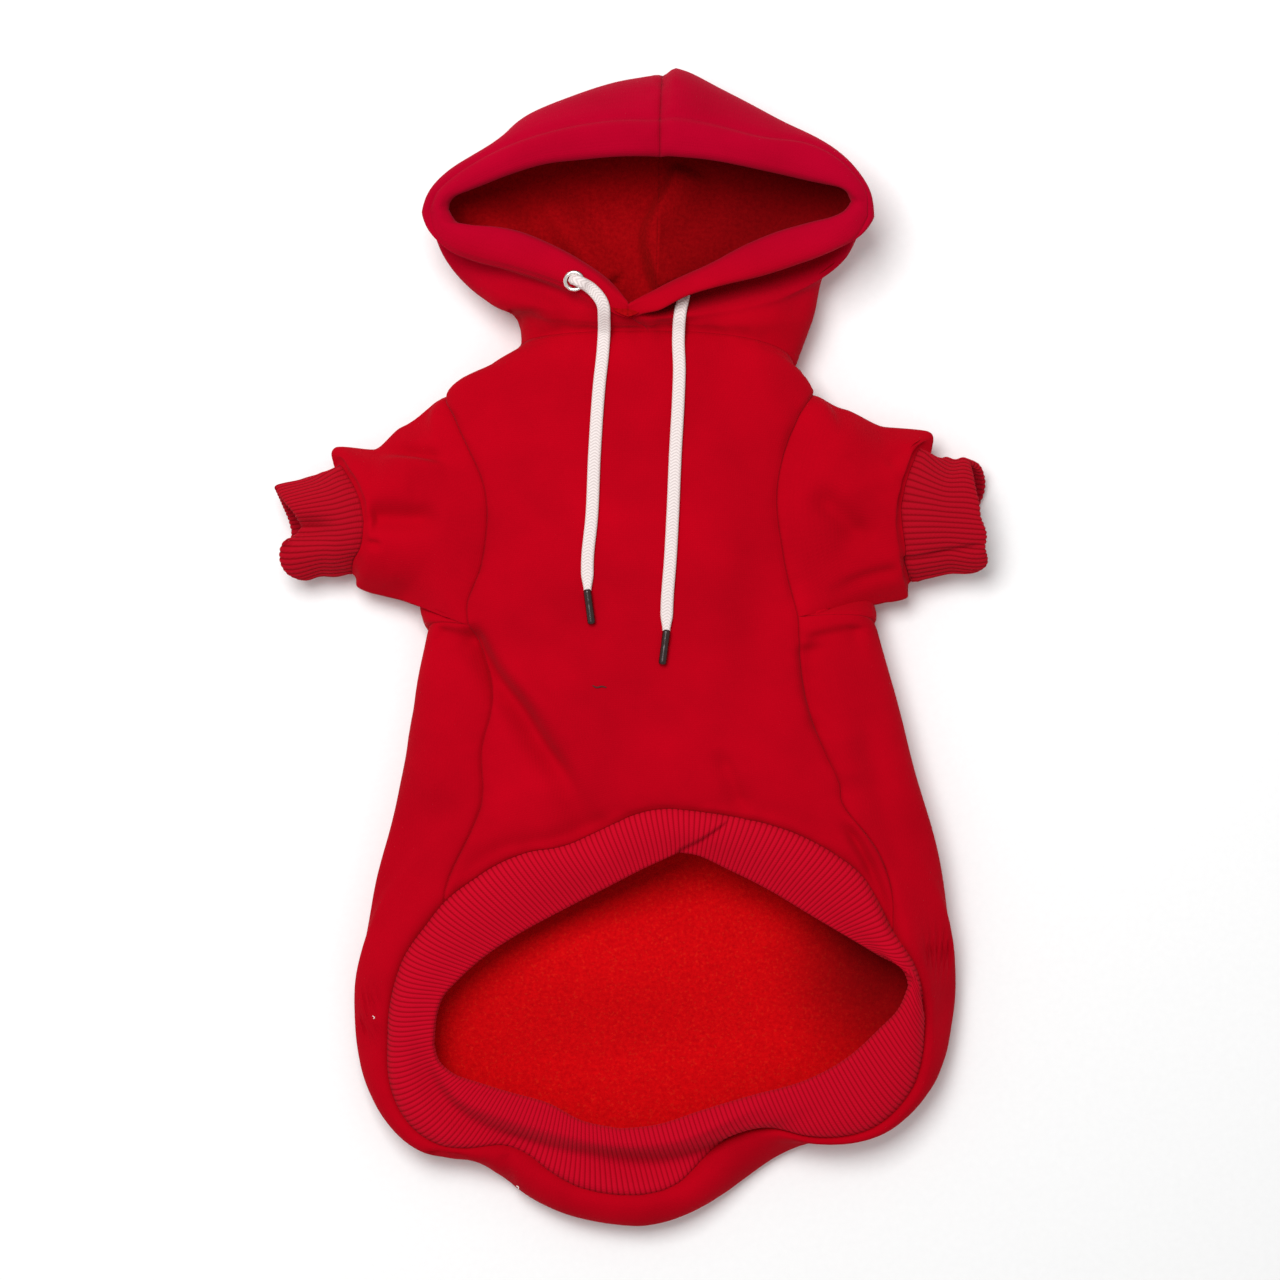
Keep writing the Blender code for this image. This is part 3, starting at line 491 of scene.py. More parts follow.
LEFT_ARM_LINES = (
    DrawnRing("left sleeve", 1.0, 1.0, 0.5, (
        ((430, 480), (420, 452), (401, 426)),
        ((412, 465), (414, 512)),
        ((408, 560), (396, 600)),
        ((418, 575), (430, 545), (433, 512)),
    )),
    DrawnRing("left fold", 1.5, 0.5, 0.5, (
        ((400, 495), (390, 470), (374, 449)),
        ((384, 480), (390, 520)),
        ((386, 560), (374, 595)),
        ((394, 575), (402, 550), (404, 520)),
    )),
    DrawnRing("left puff", 2.0, 0.5, 1.0, (
        ((371, 498), (358, 472), (346, 455), (335, 447)),
        ((346, 480), (354, 522)),
        ((354, 560), (357, 589)),
        ((366, 575), (374, 550), (377, 522)),
    )),
    DrawnRing("left cuff seam", 3.0, 1.0, 1.0, (
        ((359, 498), (347, 476), (336, 463), (329, 468)),
        ((332, 482), (339, 500), (345, 522)),
        ((346, 545), (345, 565), (350, 579)),
        ((352, 565), (360, 550), (363, 535), (364, 522)),
    )),
    DrawnRing("left cuff", 4.0, 1.0, 1.0, (
        ((332, 505), (320, 488), (303, 478)),
        ((308, 495), (314, 526)),
        ((316, 555), (325, 577)),
        ((327, 565), (331, 550), (335, 535), (336, 526)),
    )),
    DrawnRing("left cuff edge", 5.0, 1.0, 0.0, (
        ((298, 513), (288, 500), (277, 484)),
        ((283, 501), (289, 518), (292, 530)),
        ((291, 548), (292, 565), (300, 580)),
        ((290, 575), (285, 567), (284, 552), (288, 541), (296, 535), (303, 526)),
    )),
)
RIGHT_ARM_LINES = (
    DrawnRing("right sleeve", 1.0, 1.0, 0.5, (
        ((848, 545), (858, 580), (876, 606)),
        ((868, 560), (864, 512)),
        ((862, 460), (846, 409)),
        ((852, 440), (850, 475), (846, 512)),
    )),
    DrawnRing("right fold", 1.5, 0.5, 0.5, (
        ((875, 545), (880, 575), (890, 604)),
        ((886, 560), (884, 515)),
        ((886, 465), (884, 427)),
        ((884, 455), (878, 485), (874, 515)),
    )),
    DrawnRing("right puff", 2.0, 0.5, 1.0, (
        ((891, 535), (895, 562), (908, 600)),
        ((906, 560), (905, 512)),
        ((912, 465), (929, 430)),
        ((909, 450), (897, 480), (890, 512)),
    )),
    DrawnRing("right cuff seam", 3.0, 1.0, 1.0, (
        ((903, 530), (906, 551), (907, 566), (914, 586)),
        ((918, 560), (918, 509)),
        ((928, 480), (937, 454)),
        ((922, 447), (914, 462), (905, 486), (901, 509)),
    )),
    DrawnRing("right cuff", 4.0, 1.0, 1.0, (
        ((941, 535), (943, 550), (945, 565), (946, 575)),
        ((944, 545), (946, 512)),
        ((950, 485), (951, 457)),
        ((945, 470), (940, 490), (939, 512)),
    )),
    DrawnRing("right cuff edge", 5.0, 1.0, 0.0, (
        ((982, 536), (981, 547), (983, 566), (976, 571)),
        ((970, 560), (968, 540), (974, 515)),
        ((979, 503), (984, 488), (984, 474), (979, 463), (968, 458)),
        ((970, 472), (972, 488), (975, 503), (976, 516)),
    )),
)


@dataclass(frozen=True)
class Tube:
    """The garment's tube: rings of superellipse quarters, hem to hood edge, counted as stations.

    Station 0 is the hem band's free edge, 1 its seam, 11 the neck seam, 17 the casing's stitch
    line and 18 the hood's edge. Turns 0, 1, 2 and 3 are the front, right side, back and left side.
    """

    body_length: float = 0.432
    body_width: float = 0.288
    body_height: float = 0.042
    hood_length: float = 0.125
    hood_width: float = 0.216
    hood_height: float = 0.056
    ring_samples: int = 241
    station_samples: int = 300
    line_blur: float = 9.0
    neck: float = 11.0
    casing_seam: float = 17.0
    hood_edge: float = 18.0
    waves: tuple[Wave, ...] = (Wave("right lobe", 1.60, 0.20, 2.0, 1.6, 0.105),
                               Wave("left lobe", 2.46, 0.13, 2.0, 1.6, 0.045))
    drawn: tuple[DrawnRing, ...] = (BAND_EDGE, BAND_SEAM, CASING_LINE, FACE_EDGE)

    @property
    def neck_line(self) -> float:
        """The neck seam's y."""
        return 0.5 * (self.body_length - self.hood_length)

    def body_point(self, share: Point) -> Point:
        """A point of the body's table in metres."""
        return (share[0] * 0.5 * self.body_width, self.neck_line - share[1] * self.body_length,
                share[2] * self.body_height)

    def hood_point(self, share: Point) -> Point:
        """A point of the hood's table in metres."""
        return (share[0] * 0.5 * self.hood_width, self.neck_line + share[1] * self.hood_length,
                share[2] * self.hood_height)

    def rows(self, stations: Array) -> Array:
        """Read the tables at stations, along smooth curves through their sections.

        Args:
            stations: the stations.

        Returns:
            A row of 20 numbers for each station: its four points and its four pairs of bends.
        """
        table = []
        for sections, place in ((BODY_SECTIONS, self.body_point), (HOOD_SECTIONS, self.hood_point)):
            for part in sections:
                corners = [place(share) for share in (part.front, part.right, part.back, part.left)]
                table.append(np.concatenate([np.ravel(corners), np.ravel(part.bends)]))
        return curve_through(np.arange(len(table), dtype=float), np.array(table), stations)

    def quarter(self, middle: Array, side: Array, bends: Array, share: Array, across: int) -> Array:
        """Points of a quarter of each ring, at shares of its length from its middle to its side.

        With f from 0 to a quarter turn, a point is corner + (middle - corner) cos(f)^b1
        + (side - corner) sin(f)^b0, where the corner has the middle's coordinate on one axis and
        the side's on the others.

        Args:
            middle: the quarter's first point in each row.
            side: its last point in each row.
            bends: the exponents b0 and b1 in each row.
            share: shares of the quarter's length, one row of them for each ring.
            across: the axis along which the sine leads.

        Returns:
            A point for each share.
        """
        eased = 0.5 - 0.5 * np.cos(np.linspace(0.0, math.pi, self.ring_samples))
        phi = 0.5 * math.pi * eased
        sine = np.sin(phi)[None, :] ** bends[:, :1]
        cosine = np.maximum(np.cos(phi), 0.0)[None, :] ** bends[:, 1:]
        corner = np.where(np.arange(3) == across, middle, side)
        dense = (corner[:, None] + (middle - corner)[:, None] * cosine[..., None]
                 + (side - corner)[:, None] * sine[..., None])
        run = run_length(dense, axis=1)
        offset = 2.0 * np.arange(len(middle))[:, None]
        known = (run / run[:, -1:] + offset).ravel()
        where = (np.clip(share, 0.0, 1.0) + offset).ravel()
        axes = [np.interp(where, known, dense[..., axis].ravel()) for axis in range(3)]
        return np.stack(axes, axis=-1).reshape(share.shape + (3,))

    def rings(self, rows: Array, turns: Array, across: int) -> Array:
        """Find points of each row's ring, each quarter from its middle to its side.

        Args:
            rows: the rings, as rows of 20 numbers.
            turns: the turns of each row.
            across: the axis along which the quarters' sine leads.

        Returns:
            A point for each turn.
        """
        corners = rows[:, :12].reshape(-1, 4, 3)
        front, first, back, second = (corners[:, index] for index in range(4))
        bends = rows[:, 12:].reshape(-1, 4, 2)
        turns = np.mod(turns, 4.0)
        points = np.zeros(turns.shape + (3,))
        quarters = ((front, first, turns), (back, first, 2.0 - turns),
                    (back, second, turns - 2.0), (front, second, 4.0 - turns))
        for index, (middle, side, share) in enumerate(quarters):
            inside = (turns >= index) & (turns < index + 1)
            found = self.quarter(middle, side, bends[:, index], share, across)
            points = np.where(inside[..., None], found, points)
        return points

    def bare(self, stations: Array, turns: Array) -> Array:
        """The rings as the tables have them."""
        return self.rings(self.rows(stations), turns, 0)

    def plain(self, stations: Array, turns: Array) -> Array:
        """Work out the tube's outer surface without folds, drawn to its lines.

        Each wave moves its place towards the ring's middle, by a share that is a bell in turns
        and stations.

        Args:
            stations: a station for each row.
            turns: the turns of each row.

        Returns:
            The grid of points.
        """
        rows = self.rows(stations)
        grid = self.rings(rows, turns, 0)
        middle = rows[:, :12].reshape(-1, 4, 3).mean(axis=1)[:, None, :2]
        draw = np.zeros(turns.shape)
        for wave in self.waves:
            round_ring = np.exp(-((np.mod(turns, 4.0) - wave.turn) / wave.width) ** 2)
            draw += wave.draw * round_ring * np.exp(-((stations[:, None] - wave.station) / wave.spread) ** 2)
        grid[..., :2] += (middle - grid[..., :2]) * draw[..., None]
        return draw_to_lines(self, grid, stations, turns)

    def surface(self, stations: Array, turns: Array) -> tuple[Array, Array]:
        """The plain outer surface and its outward normals, alike on both sides of every seam.

        Args:
            stations: a station for each row.
            turns: the turns of each row.

        Returns:
            The grid of points, and the grid of unit normals from central differences.
        """
        turn_step, station_step = 0.02, 0.05
        low = np.maximum(stations - station_step, 0.0)
        high = np.minimum(stations + station_step, self.hood_edge)
        around = self.plain(stations, turns + turn_step) - self.plain(stations, turns - turn_step)
        along = self.plain(high, turns) - self.plain(low, turns)
        return self.plain(stations, turns), unit(np.cross(around, along))

    def even_stations(self, start: float, end: float, turn: float, count: int) -> Array:
        """Find stations whose rings lie at even distances along one turn of the tube.

        Args:
            start: the first station.
            end: the last station.
            turn: the turn.
            count: how many stations are wanted.

        Returns:
            The stations.
        """
        dense = np.linspace(start, end, self.station_samples)
        run = run_length(self.plain(dense, np.full((self.station_samples, 1), turn))[:, 0])
        return np.interp(np.linspace(0.0, run[-1], count), run, dense)


@lru_cache(maxsize=None)
def drawn_offsets(shape: "Tube | Arm", line: DrawnRing) -> Array:
    """How far a ring of the tube or of an arm has to move on the plan to lie on a drawn line.

    The offsets are smoothed round the ring with a bell of a few hundredths of a turn.

    Args:
        shape: the garment's tube or an arm.
        line: the drawn line.

    Returns:
        Offsets in metres at evenly spaced turns from 0 to 4.
    """
    samples, widest = 1600, 24
    turns = np.linspace(0.0, 4.0, samples + 1)
    ring = shape.bare(np.array([line.station]), turns[None, :])[0, :, :2]
    offset = (line.at(turns) - ring)[:-1]
    reach = np.arange(-widest, widest + 1)
    bell = np.exp(-(reach / shape.line_blur) ** 2)
    bell /= bell.sum()
    smooth = sum(weight * np.roll(offset, shift, axis=0) for weight, shift in zip(bell, reach))
    return np.vstack([smooth, smooth[:1]])


def draw_to_lines(shape: "Tube | Arm", grid: Array, stations: Array, turns: Array) -> Array:
    """Move a grid on the plan by the weighted offsets of its shape's drawn lines.

    Args:
        shape: the garment's tube or an arm.
        grid: its points, which are changed.
        stations: a station for each row.
        turns: the turns of each row.

    Returns:
        The moved grid.
    """
    for line in shape.drawn:
        weight = line.weight(stations)
        if weight.any():
            table = drawn_offsets(shape, line)
            known = np.linspace(0.0, 4.0, len(table))
            offset = [np.interp(np.mod(turns, 4.0), known, table[:, axis]) for axis in range(2)]
            grid[..., :2] += np.stack(offset, axis=-1) * weight[:, None, None]
    return grid


TUBE = Tube()


@dataclass(frozen=True)
class Seams:
    """Where the panels meet: turns of the side seams, and of the armholes' front and back edges."""

    side_stations: tuple[float, ...] = (1.0, 2.0, 3.0, 4.0, 5.0, 6.4)
    side_left: tuple[float, ...] = (0.60, 0.46, 0.44, 0.49, 0.54, 0.72)
    side_right: tuple[float, ...] = (0.74, 0.47, 0.44, 0.44, 0.485, 0.56)
    hole_stations: tuple[float, ...] = (6.40, 6.75, 7.20, 7.80, 8.40, 8.80, 9.15)
    hole_left_front: tuple[float, ...] = (0.72, 0.74, 0.70, 0.71, 0.82, 0.90, 1.00)
    hole_left_back: tuple[float, ...] = (0.72, 0.94, 1.24, 1.42, 1.36, 1.22, 1.00)
    hole_right_front: tuple[float, ...] = (0.56, 0.56, 0.56, 0.59, 0.71, 0.84, 1.00)
    hole_right_back: tuple[float, ...] = (0.56, 0.90, 1.22, 1.40, 1.35, 1.22, 1.00)

    def edges(self, stations: Array, side: Side) -> tuple[Array, Array]:
        """Follow the front panel's edge and the back panel's edge on one side.

        Args:
            stations: the stations.
            side: the side.

        Returns:
            The front panel's turns and the back panel's turns, one for each station.
        """
        seam = np.array(getattr(self, f"side_{side.label}"))[:, None]
        hole = np.stack([getattr(self, f"hole_{side.label}_front"),
                         getattr(self, f"hole_{side.label}_back")], axis=1)
        knots = np.array(self.hole_stations)
        along = curve_through(np.array(self.side_stations), seam, stations)[:, 0]
        edge = curve_through(knots, hole, np.clip(stations, knots[0], knots[-1]))
        below, above = stations <= knots[0], stations >= knots[-1]
        front = np.where(below, along, np.where(above, 1.0, edge[:, 0]))
        back = np.where(below, along, np.where(above, 1.0, edge[:, 1]))
        return front, back

    def hole_rows(self, count: int) -> Array:
        """Stations along the armholes, closer together at both ends."""
        share = 0.5 - 0.5 * np.cos(np.linspace(0.0, math.pi, count))
        return self.hole_stations[0] + share * (self.hole_stations[-1] - self.hole_stations[0])


SEAMS = Seams()

# Folds of the side that faces up: the belly, the sleeves, the cuffs and the outside of the hood
UPPER_CREASES = (
    Crease("armpit groove", ((466, 622), (494, 674), (523, 711), (543, 744), (564, 774), (584, 808)),
           -8.0, 4.6, 7.5, (0.10, 0.30)),
    Crease("ridge over the groove", ((500, 640), (520, 675), (546, 706), (572, 738), (600, 776)),
           3.4, 7.0, 7.0, (0.30, 0.35)),
    Mound("hollow at the groove's end", (580, 816), -4.5, (15.0, 8.0), -65.0),
    Crease("left armpit fold", ((436, 630), (456, 634), (476, 641)), -3.0, 2.2, 7.0, (0.1, 0.3)),
    Crease("right armpit fold", ((800, 642), (820, 636), (845, 631), (868, 629)), -3.2, 2.2, 9.0,
           (0.25, 0.2)),
    Crease("left flank swell", ((430, 700), (440, 760), (440, 820)), 2.4, 13.0, 13.0),
    Crease("left sleeve fold", ((372, 462), (398, 462), (428, 464), (456, 470)), 2.6, 2.2, 9.0,
           (0.35, 0.45)),
    Crease("left sleeve hollow over the fold", ((384, 452), (402, 452), (426, 456), (456, 464)),
           -3.6, 3.4, 2.4, (0.35, 0.4)),
    Crease("left sleeve hollow", ((366, 518), (405, 519), (450, 521)), -6.2, 6.5, 6.5, (0.15, 0.4)),
    Crease("left sleeve dent", ((364, 543), (384, 546)), -2.2, 1.8, 2.6),
    Crease("left sleeve swell", ((372, 480), (420, 486)), 1.8, 9.0, 8.0),
    Crease("left cuff dent", ((288, 528), (310, 528), (345, 526)), -6.5, 5.0, 7.0, (0.0, 0.6)),
    Crease("right sleeve hollow", ((808, 488), (836, 514), (872, 548)), -4.6, 6.5, 6.5, (0.3, 0.3)),
    Mound("right sleeve's low part", (846, 552), -4.5, (24.0, 13.0), 35.0),
    Crease("right sleeve crease", ((822, 597), (842, 589), (873, 577), (904, 570)), -2.0, 3.2, 3.4,
           (0.45, 0.2)),
    Crease("right sleeve swell", ((826, 440), (860, 470), (880, 500)), 2.2, 12.0, 12.0),
    Crease("right sleeve pull", ((884, 470), (896, 458), (912, 446)), -1.6, 3.0, 4.0),
    Crease("right cuff fold", ((903, 563), (940, 553), (982, 545)), -2.0, 1.3, 3.0, (0.05, 0.1)),
    Crease("right shoulder drape", ((704, 345), (735, 420), (752, 500)), -1.9, 12.0, 10.0),
    Crease("right shoulder swell", ((735, 340), (772, 400), (782, 460)), 1.6, 10.0, 10.0),
    Crease("right chest shade", ((760, 520), (752, 610), (760, 700)), -1.8, 15.0, 13.0),
    Crease("left shoulder drape", ((540, 360), (520, 420), (516, 500)), -1.3, 11.0, 11.0),
    Crease("neck dent", ((512, 320), (530, 318), (556, 320)), -2.4, 3.6, 4.0, (0.0, 0.6)),
    Crease("throat shade", ((650, 330), (672, 328), (708, 325)), -1.8, 3.0, 3.6, (0.2, 0.5)),
    Crease("left cheek swell", ((478, 292), (520, 304), (572, 316)), 2.0, 6.0, 7.0),
    Crease("right cheek swell", ((716, 330), (762, 318), (800, 300)), 1.8, 8.0, 8.0),
    Crease("left end pucker", ((442, 212), (470, 206)), -1.1, 1.1, 1.6),
    Crease("left end lower pucker", ((440, 224), (468, 226)), -1.2, 1.1, 1.6),
    Crease("right end pucker", ((866, 208), (846, 206)), -1.0, 1.2, 1.6),
    Crease("right side valley", ((858, 700), (872, 760), (886, 820), (900, 880)), -2.8, 6.0, 8.0),
    Crease("right side hollow", ((806, 640), (812, 700), (826, 760)), -4.4, 9.0, 4.0, (0.1, 0.5)),
    Crease("right flank swell", ((838, 720), (856, 790)), 2.0, 12.0, 10.0),
    Crease("groin fold", ((843, 800), (858, 830), (871, 862)), 2.2, 3.0, 3.6, (0.4, 0.2)),
    Crease("dip over the band, left", ((452, 880), (500, 848), (560, 836), (600, 820), (640, 800)),
           -2.2, 5.0, 3.0, (0.2, 0.3)),
    Crease("dip over the band, right", ((680, 798), (740, 804), (800, 822), (846, 850)), -1.4, 6.0, 3.0,
           (0.3, 0.2)),
    Crease("fold over the joint", ((716, 744), (728, 772), (738, 796), (748, 816)), -3.0, 4.0, 5.5),
    Crease("hip groove by the band", ((843, 818), (862, 850), (878, 888), (890, 918), (899, 944)),
           -4.8, 2.6, 3.4, (0.15, 0.2)),
    Crease("hip fold from the outline", ((952, 948), (932, 950), (912, 948)), -2.2, 2.6, 4.0, (0.0, 0.4)),
    Crease("line beside the band", ((913, 984), (919, 998), (926, 1014)), -1.8, 1.2, 1.8),
    Crease("left roll pucker", ((362, 1001), (376, 999), (390, 998)), -1.3, 1.8, 2.4, (0.1, 0.4)),
    Crease("left roll lower pucker", ((358, 1029), (374, 1032), (390, 1035)), -1.3, 1.8, 2.4, (0.1, 0.4)),
    Crease("fold under the band", ((505, 1156), (508, 1174), (513, 1196)), -2.2, 2.4, 3.4, (0.1, 0.4)),
    Crease("fold at the band's corner", ((428, 1150), (452, 1157), (478, 1160)), -2.0, 2.0, 2.8, (0.2, 0.4)),
    Crease("valley in the band",
           ((412, 1030), (426, 1070), (452, 1108), (535, 1146), (600, 1158), (664, 1162), (728, 1146),
            (790, 1124), (840, 1096)),
           -7.0, 4.4, 8.0, (0.15, 0.35)),
    Crease("lip of the band",
           ((424, 1050), (446, 1086), (500, 1112), (560, 1130), (620, 1142), (680, 1136), (740, 1112),
            (800, 1086)),
           3.0, 3.0, 3.6, (0.2, 0.3)),
    Mound("right lip of the band", (905, 968), 7.0, (12.0, 34.0), 10.0),
    Mound("hollow in the band's lobe", (636, 1174), -5.5, (30.0, 8.0)),
)

# Folds of the cloth that lies on the floor, seen from inside through the two mouths
FLOOR_CREASES = (
    Crease("hood seam inside", ((684, 152), (670, 190), (650, 232), (655, 262), (668, 296)),
           11.0, 16.0, 5.0, (0.15, 0.1)),
    Mound("hood lobe inside", (700, 250), 4.0, (22.0, 13.0), 20.0),
    Crease("hood ridge inside", ((534, 180), (556, 214), (582, 250), (608, 290)), 8.0, 12.0, 7.0,
           (0.3, 0.1)),
    Mound("hood swell inside left", (500, 226), 11.0, (22.0, 13.0), -20.0),
    Crease("hood ridge inside right", ((736, 262), (780, 236), (822, 204)), 4.0, 4.0, 12.0),
    Mound("back swell inside", (600, 960), 14.0, (74.0, 36.0)),
    Crease("hollow under the band's right end", ((850, 890), (872, 950), (866, 1020)), -8.0, 10.0, 14.0),
)

# Where a seam lies slack under a fold, its groove is lost by these shares
SLACK_SEAMS = (
    Mound("right armpit", (852, 614), 0.8, (22.0, 9.0)),
    Mound("left armpit", (448, 618), 0.8, (18.0, 9.0)),
)

UNDULATION = Ripple(length=0.062, height=0.00050, seed=11)
SEAM_PUCKER = Ripple(length=0.0085, height=0.00030, seed=23)


def settle(points: Array, normals: Array) -> Array:
    """Give a grid its folds and its unevenness, and keep it above the floor.

    The upper folds go where the cloth faces up, along its normals. The floor folds go where it
    faces down, and lift it straight up.

    Args:
        points: the plain outer surface.
        normals: its outward normals.

    Returns:
        The folded outer surface.
    """
    upper = smooth_step((normals[..., 2] + 0.15) / 0.4)
    lower = smooth_step((-normals[..., 2] - 0.15) / 0.4)
    height = relief(UPPER_CREASES, points) * upper + UNDULATION.at(points) * (1.0 - lower)
    moved = points + normals * height[..., None]
    moved[..., 2] += relief(FLOOR_CREASES, points) * lower
    moved[..., 2] = np.maximum(moved[..., 2], 0.0)
    return moved


def seam_drop(distance: Array, depth: float) -> Array:
    """A stitched line in a soft dip: depth * (exp(-(d/w)^2) + 0.7 exp(-(d/3w)^2))."""
    line, dip = (np.exp(-(distance / width) ** 2) for width in (SEAM_WIDTH, 3.0 * SEAM_WIDTH))
    return depth * (line + 0.7 * dip)


def sink_edges(grid: Array, normals: Array, depths: dict[str, float]) -> Array:
    """Draw the cloth down along its sewn edges, so that two panels meet in a groove.

    The drop is the deepest of the edges' own drops, and over a wider strip the seam's pucker
    makes the cloth uneven.

    Args:
        grid: the outer surface.
        normals: its outward normals.
        depths: the grooves' depths by edge: l and h for the first and last row, f and b for the
            columns.

    Returns:
        The surface with sunk edges.
    """
    down = run_length(grid, axis=0)
    across = run_length(grid, axis=1)
    distances = {"l": down, "h": down[-1:] - down, "f": across, "b": across[:, -1:] - across}
    drop = np.max([seam_drop(distances[side], depth) for side, depth in depths.items()], axis=0)
    nearest = np.min([distances[side] for side in depths], axis=0)
    pucker = SEAM_PUCKER.at(grid) * np.exp(-(nearest / (3.5 * SEAM_WIDTH)) ** 2)
    keep = 1.0 - relief(SLACK_SEAMS, grid) / MM
    moved = grid + normals * (keep * (pucker - drop))[..., None]
    moved[..., 2] = np.maximum(moved[..., 2], 0.0)
    return moved


def linear(code: str) -> tuple[float, float, float, float]:
    """Turn an sRGB hex colour into linear red, green and blue, with an alpha of 1.

    Args:
        code: the colour, such as "#a00012".

    Returns:
        Four values: v / 12.92 up to 0.04045, and ((v + 0.055) / 1.055)^2.4 above.
    """
    parts = [int(code[index:index + 2], 16) / 255.0 for index in (1, 3, 5)]
    red, green, blue = (v / 12.92 if v <= 0.04045 else ((v + 0.055) / 1.055) ** 2.4 for v in parts)
    return (red, green, blue, 1.0)


def set_node(tree: Tree, node: Node, given: dict) -> Node:
    """Give a node its settings and links.

    Args:
        tree: the material's node tree.
        node: the node.
        given: attribute names, or names or numbers of input sockets. A value is a setting. An
            output socket is a link, and so is a node, from its first output. stops holds a colour
            ramp's two places with their hex colours.

    Returns:
        The node.
    """
    for name, value in given.items():
        if isinstance(value, Node):
            value = value.outputs[0]
        if isinstance(value, Socket):
            tree.links.new(value, node.inputs[name])
        elif name == "stops":
            for element, (position, code) in zip(node.color_ramp.elements, value):
                element.position = position
                element.color = linear(code)
        elif isinstance(name, str) and hasattr(node, name):
            setattr(node, name, value)
        else:
            node.inputs[name].default_value = value
    return node


def add_node(tree: Tree, kind: str, given: dict | None = None) -> Node:
    """Add a node of a kind with its settings and links, given as set_node takes them."""
    return set_node(tree, tree.nodes.new(kind), given or {})


@dataclass(frozen=True)
class Finish:
    """What every finish has: a name, and how rough, glossy and velvety it is all over."""

    name: str
    roughness: float = 0.9
    specular: float = 0.5
    sheen: float = 0.0
    sheen_roughness: float = 0.5
    sheen_tint: str = "#ffffff"

    def pattern(self, tree: Tree, place: Socket) -> dict:
        """No pattern: a finish adds its own nodes, and returns what its shader is given."""
        return {}

    def make(self) -> Material:
        """Make the material.

        Returns:
            The material, its Principled shader fed by the finish's own pattern.
        """
        made = bpy.data.materials.new(self.name)
        made.use_nodes = True
        tree = made.node_tree
        place = add_node(tree, "ShaderNodeTexCoord").outputs["Object"]
        shader = set_node(tree, tree.nodes["Principled BSDF"], {
            "Roughness": self.roughness, "Specular IOR Level": self.specular, "Sheen Weight": self.sheen,
            "Sheen Roughness": self.sheen_roughness, "Sheen Tint": linear(self.sheen_tint)})
        set_node(tree, shader, self.pattern(tree, place))
        return made


@dataclass(frozen=True)
class FleeceFace(Finish):
    """Plain jersey face of sweatshirt fleece: cotton and polyester loops, dyed red, dull.

    Its stitches stand in wales 1.3 mm apart, drawn a third coarser than real ones so that they
    show, and its loose fibre ends give it a pale pink sheen where it turns away. Above the neck a
    pinker, slightly darker red is mixed in on the hood: a painted sheen and a painted shade.
    """

    specular: float = 0.03
    sheen: float = 0.06
    sheen_roughness: float = 0.45
    sheen_tint: str = "#ff8aa0"
    low: str = "#a00012"
    high: str = "#bb0017"
    # painted sheen and shade: the pinker, darker red that the hood gets above the neck; the plain red unless
    # given
    painted_sheen_low: str = "#a00012"
    painted_sheen_high: str = "#bb0017"
    wale: float = 1.3 * MM
    course: float = 1.0 * MM

    def pattern(self, tree: Tree, place: Socket) -> dict:
        """Jersey loops from two waves of the cloth's own UV, under fine noise, with a painted sheen and shade
        above the neck.

        Args:
            tree: the material's node tree.
            place: the object coordinates.

        Returns:
            The colour and the bump for the shader.
        """
        uv = add_node(tree, "ShaderNodeUVMap", {"uv_map": "cloth"})
        wales, courses = (
            add_node(tree, "ShaderNodeTexWave",
                     {"bands_direction": axis, "Scale": 0.1 * math.pi / spacing, "Distortion": bend,
                      "Detail": 1.0, "Detail Scale": 2.0, "Vector": uv}).outputs["Fac"]
            for axis, spacing, bend in (("X", self.wale, 0.5), ("Y", self.course, 0.7)))
        loops = add_node(tree, "ShaderNodeMath", {"operation": "MULTIPLY", 0: wales, 1: courses})
        fibres = add_node(tree, "ShaderNodeTexNoise", {"Scale": 1700.0, "Detail": 3.0, "Vector": place})
        height = add_node(tree, "ShaderNodeMath", {"operation": "ADD", 0: loops, 1: fibres})
        bump = add_node(tree, "ShaderNodeBump", {"Strength": 0.22, "Distance": 0.35 * MM, "Height": height})
        cloud = add_node(tree, "ShaderNodeTexNoise", {"Scale": 26.0, "Detail": 4.0, "Vector": place})
        mottle = add_node(tree, "ShaderNodeMix", {"data_type": "FLOAT", "Factor": 0.35, 2: cloud, 3: fibres})
        # Painted sheen and shade: a second pair of colours, pinker and darker, mixed in by y on the plan
        # above the neck
        colour, painted_sheen_colour = (
            add_node(tree, "ShaderNodeValToRGB", {"Fac": mottle, "stops": ((0.25, low), (0.75, high))})
            for low, high in ((self.low, self.high), (self.painted_sheen_low, self.painted_sheen_high)))
        axes = add_node(tree, "ShaderNodeSeparateXYZ", {0: place})
        rise = add_node(tree, "ShaderNodeMapRange",
                        {"interpolation_type": "SMOOTHSTEP", "From Min": PAINTED_SHEEN_START, "From Max": PAINTED_SHEEN_END,
                         "Value": axes.outputs[1]})
        dyed = add_node(tree, "ShaderNodeMix", {"data_type": "RGBA", 0: rise, 6: colour, 7: painted_sheen_colour})
        return {"Base Color": dyed.outputs[2], "Normal": bump}


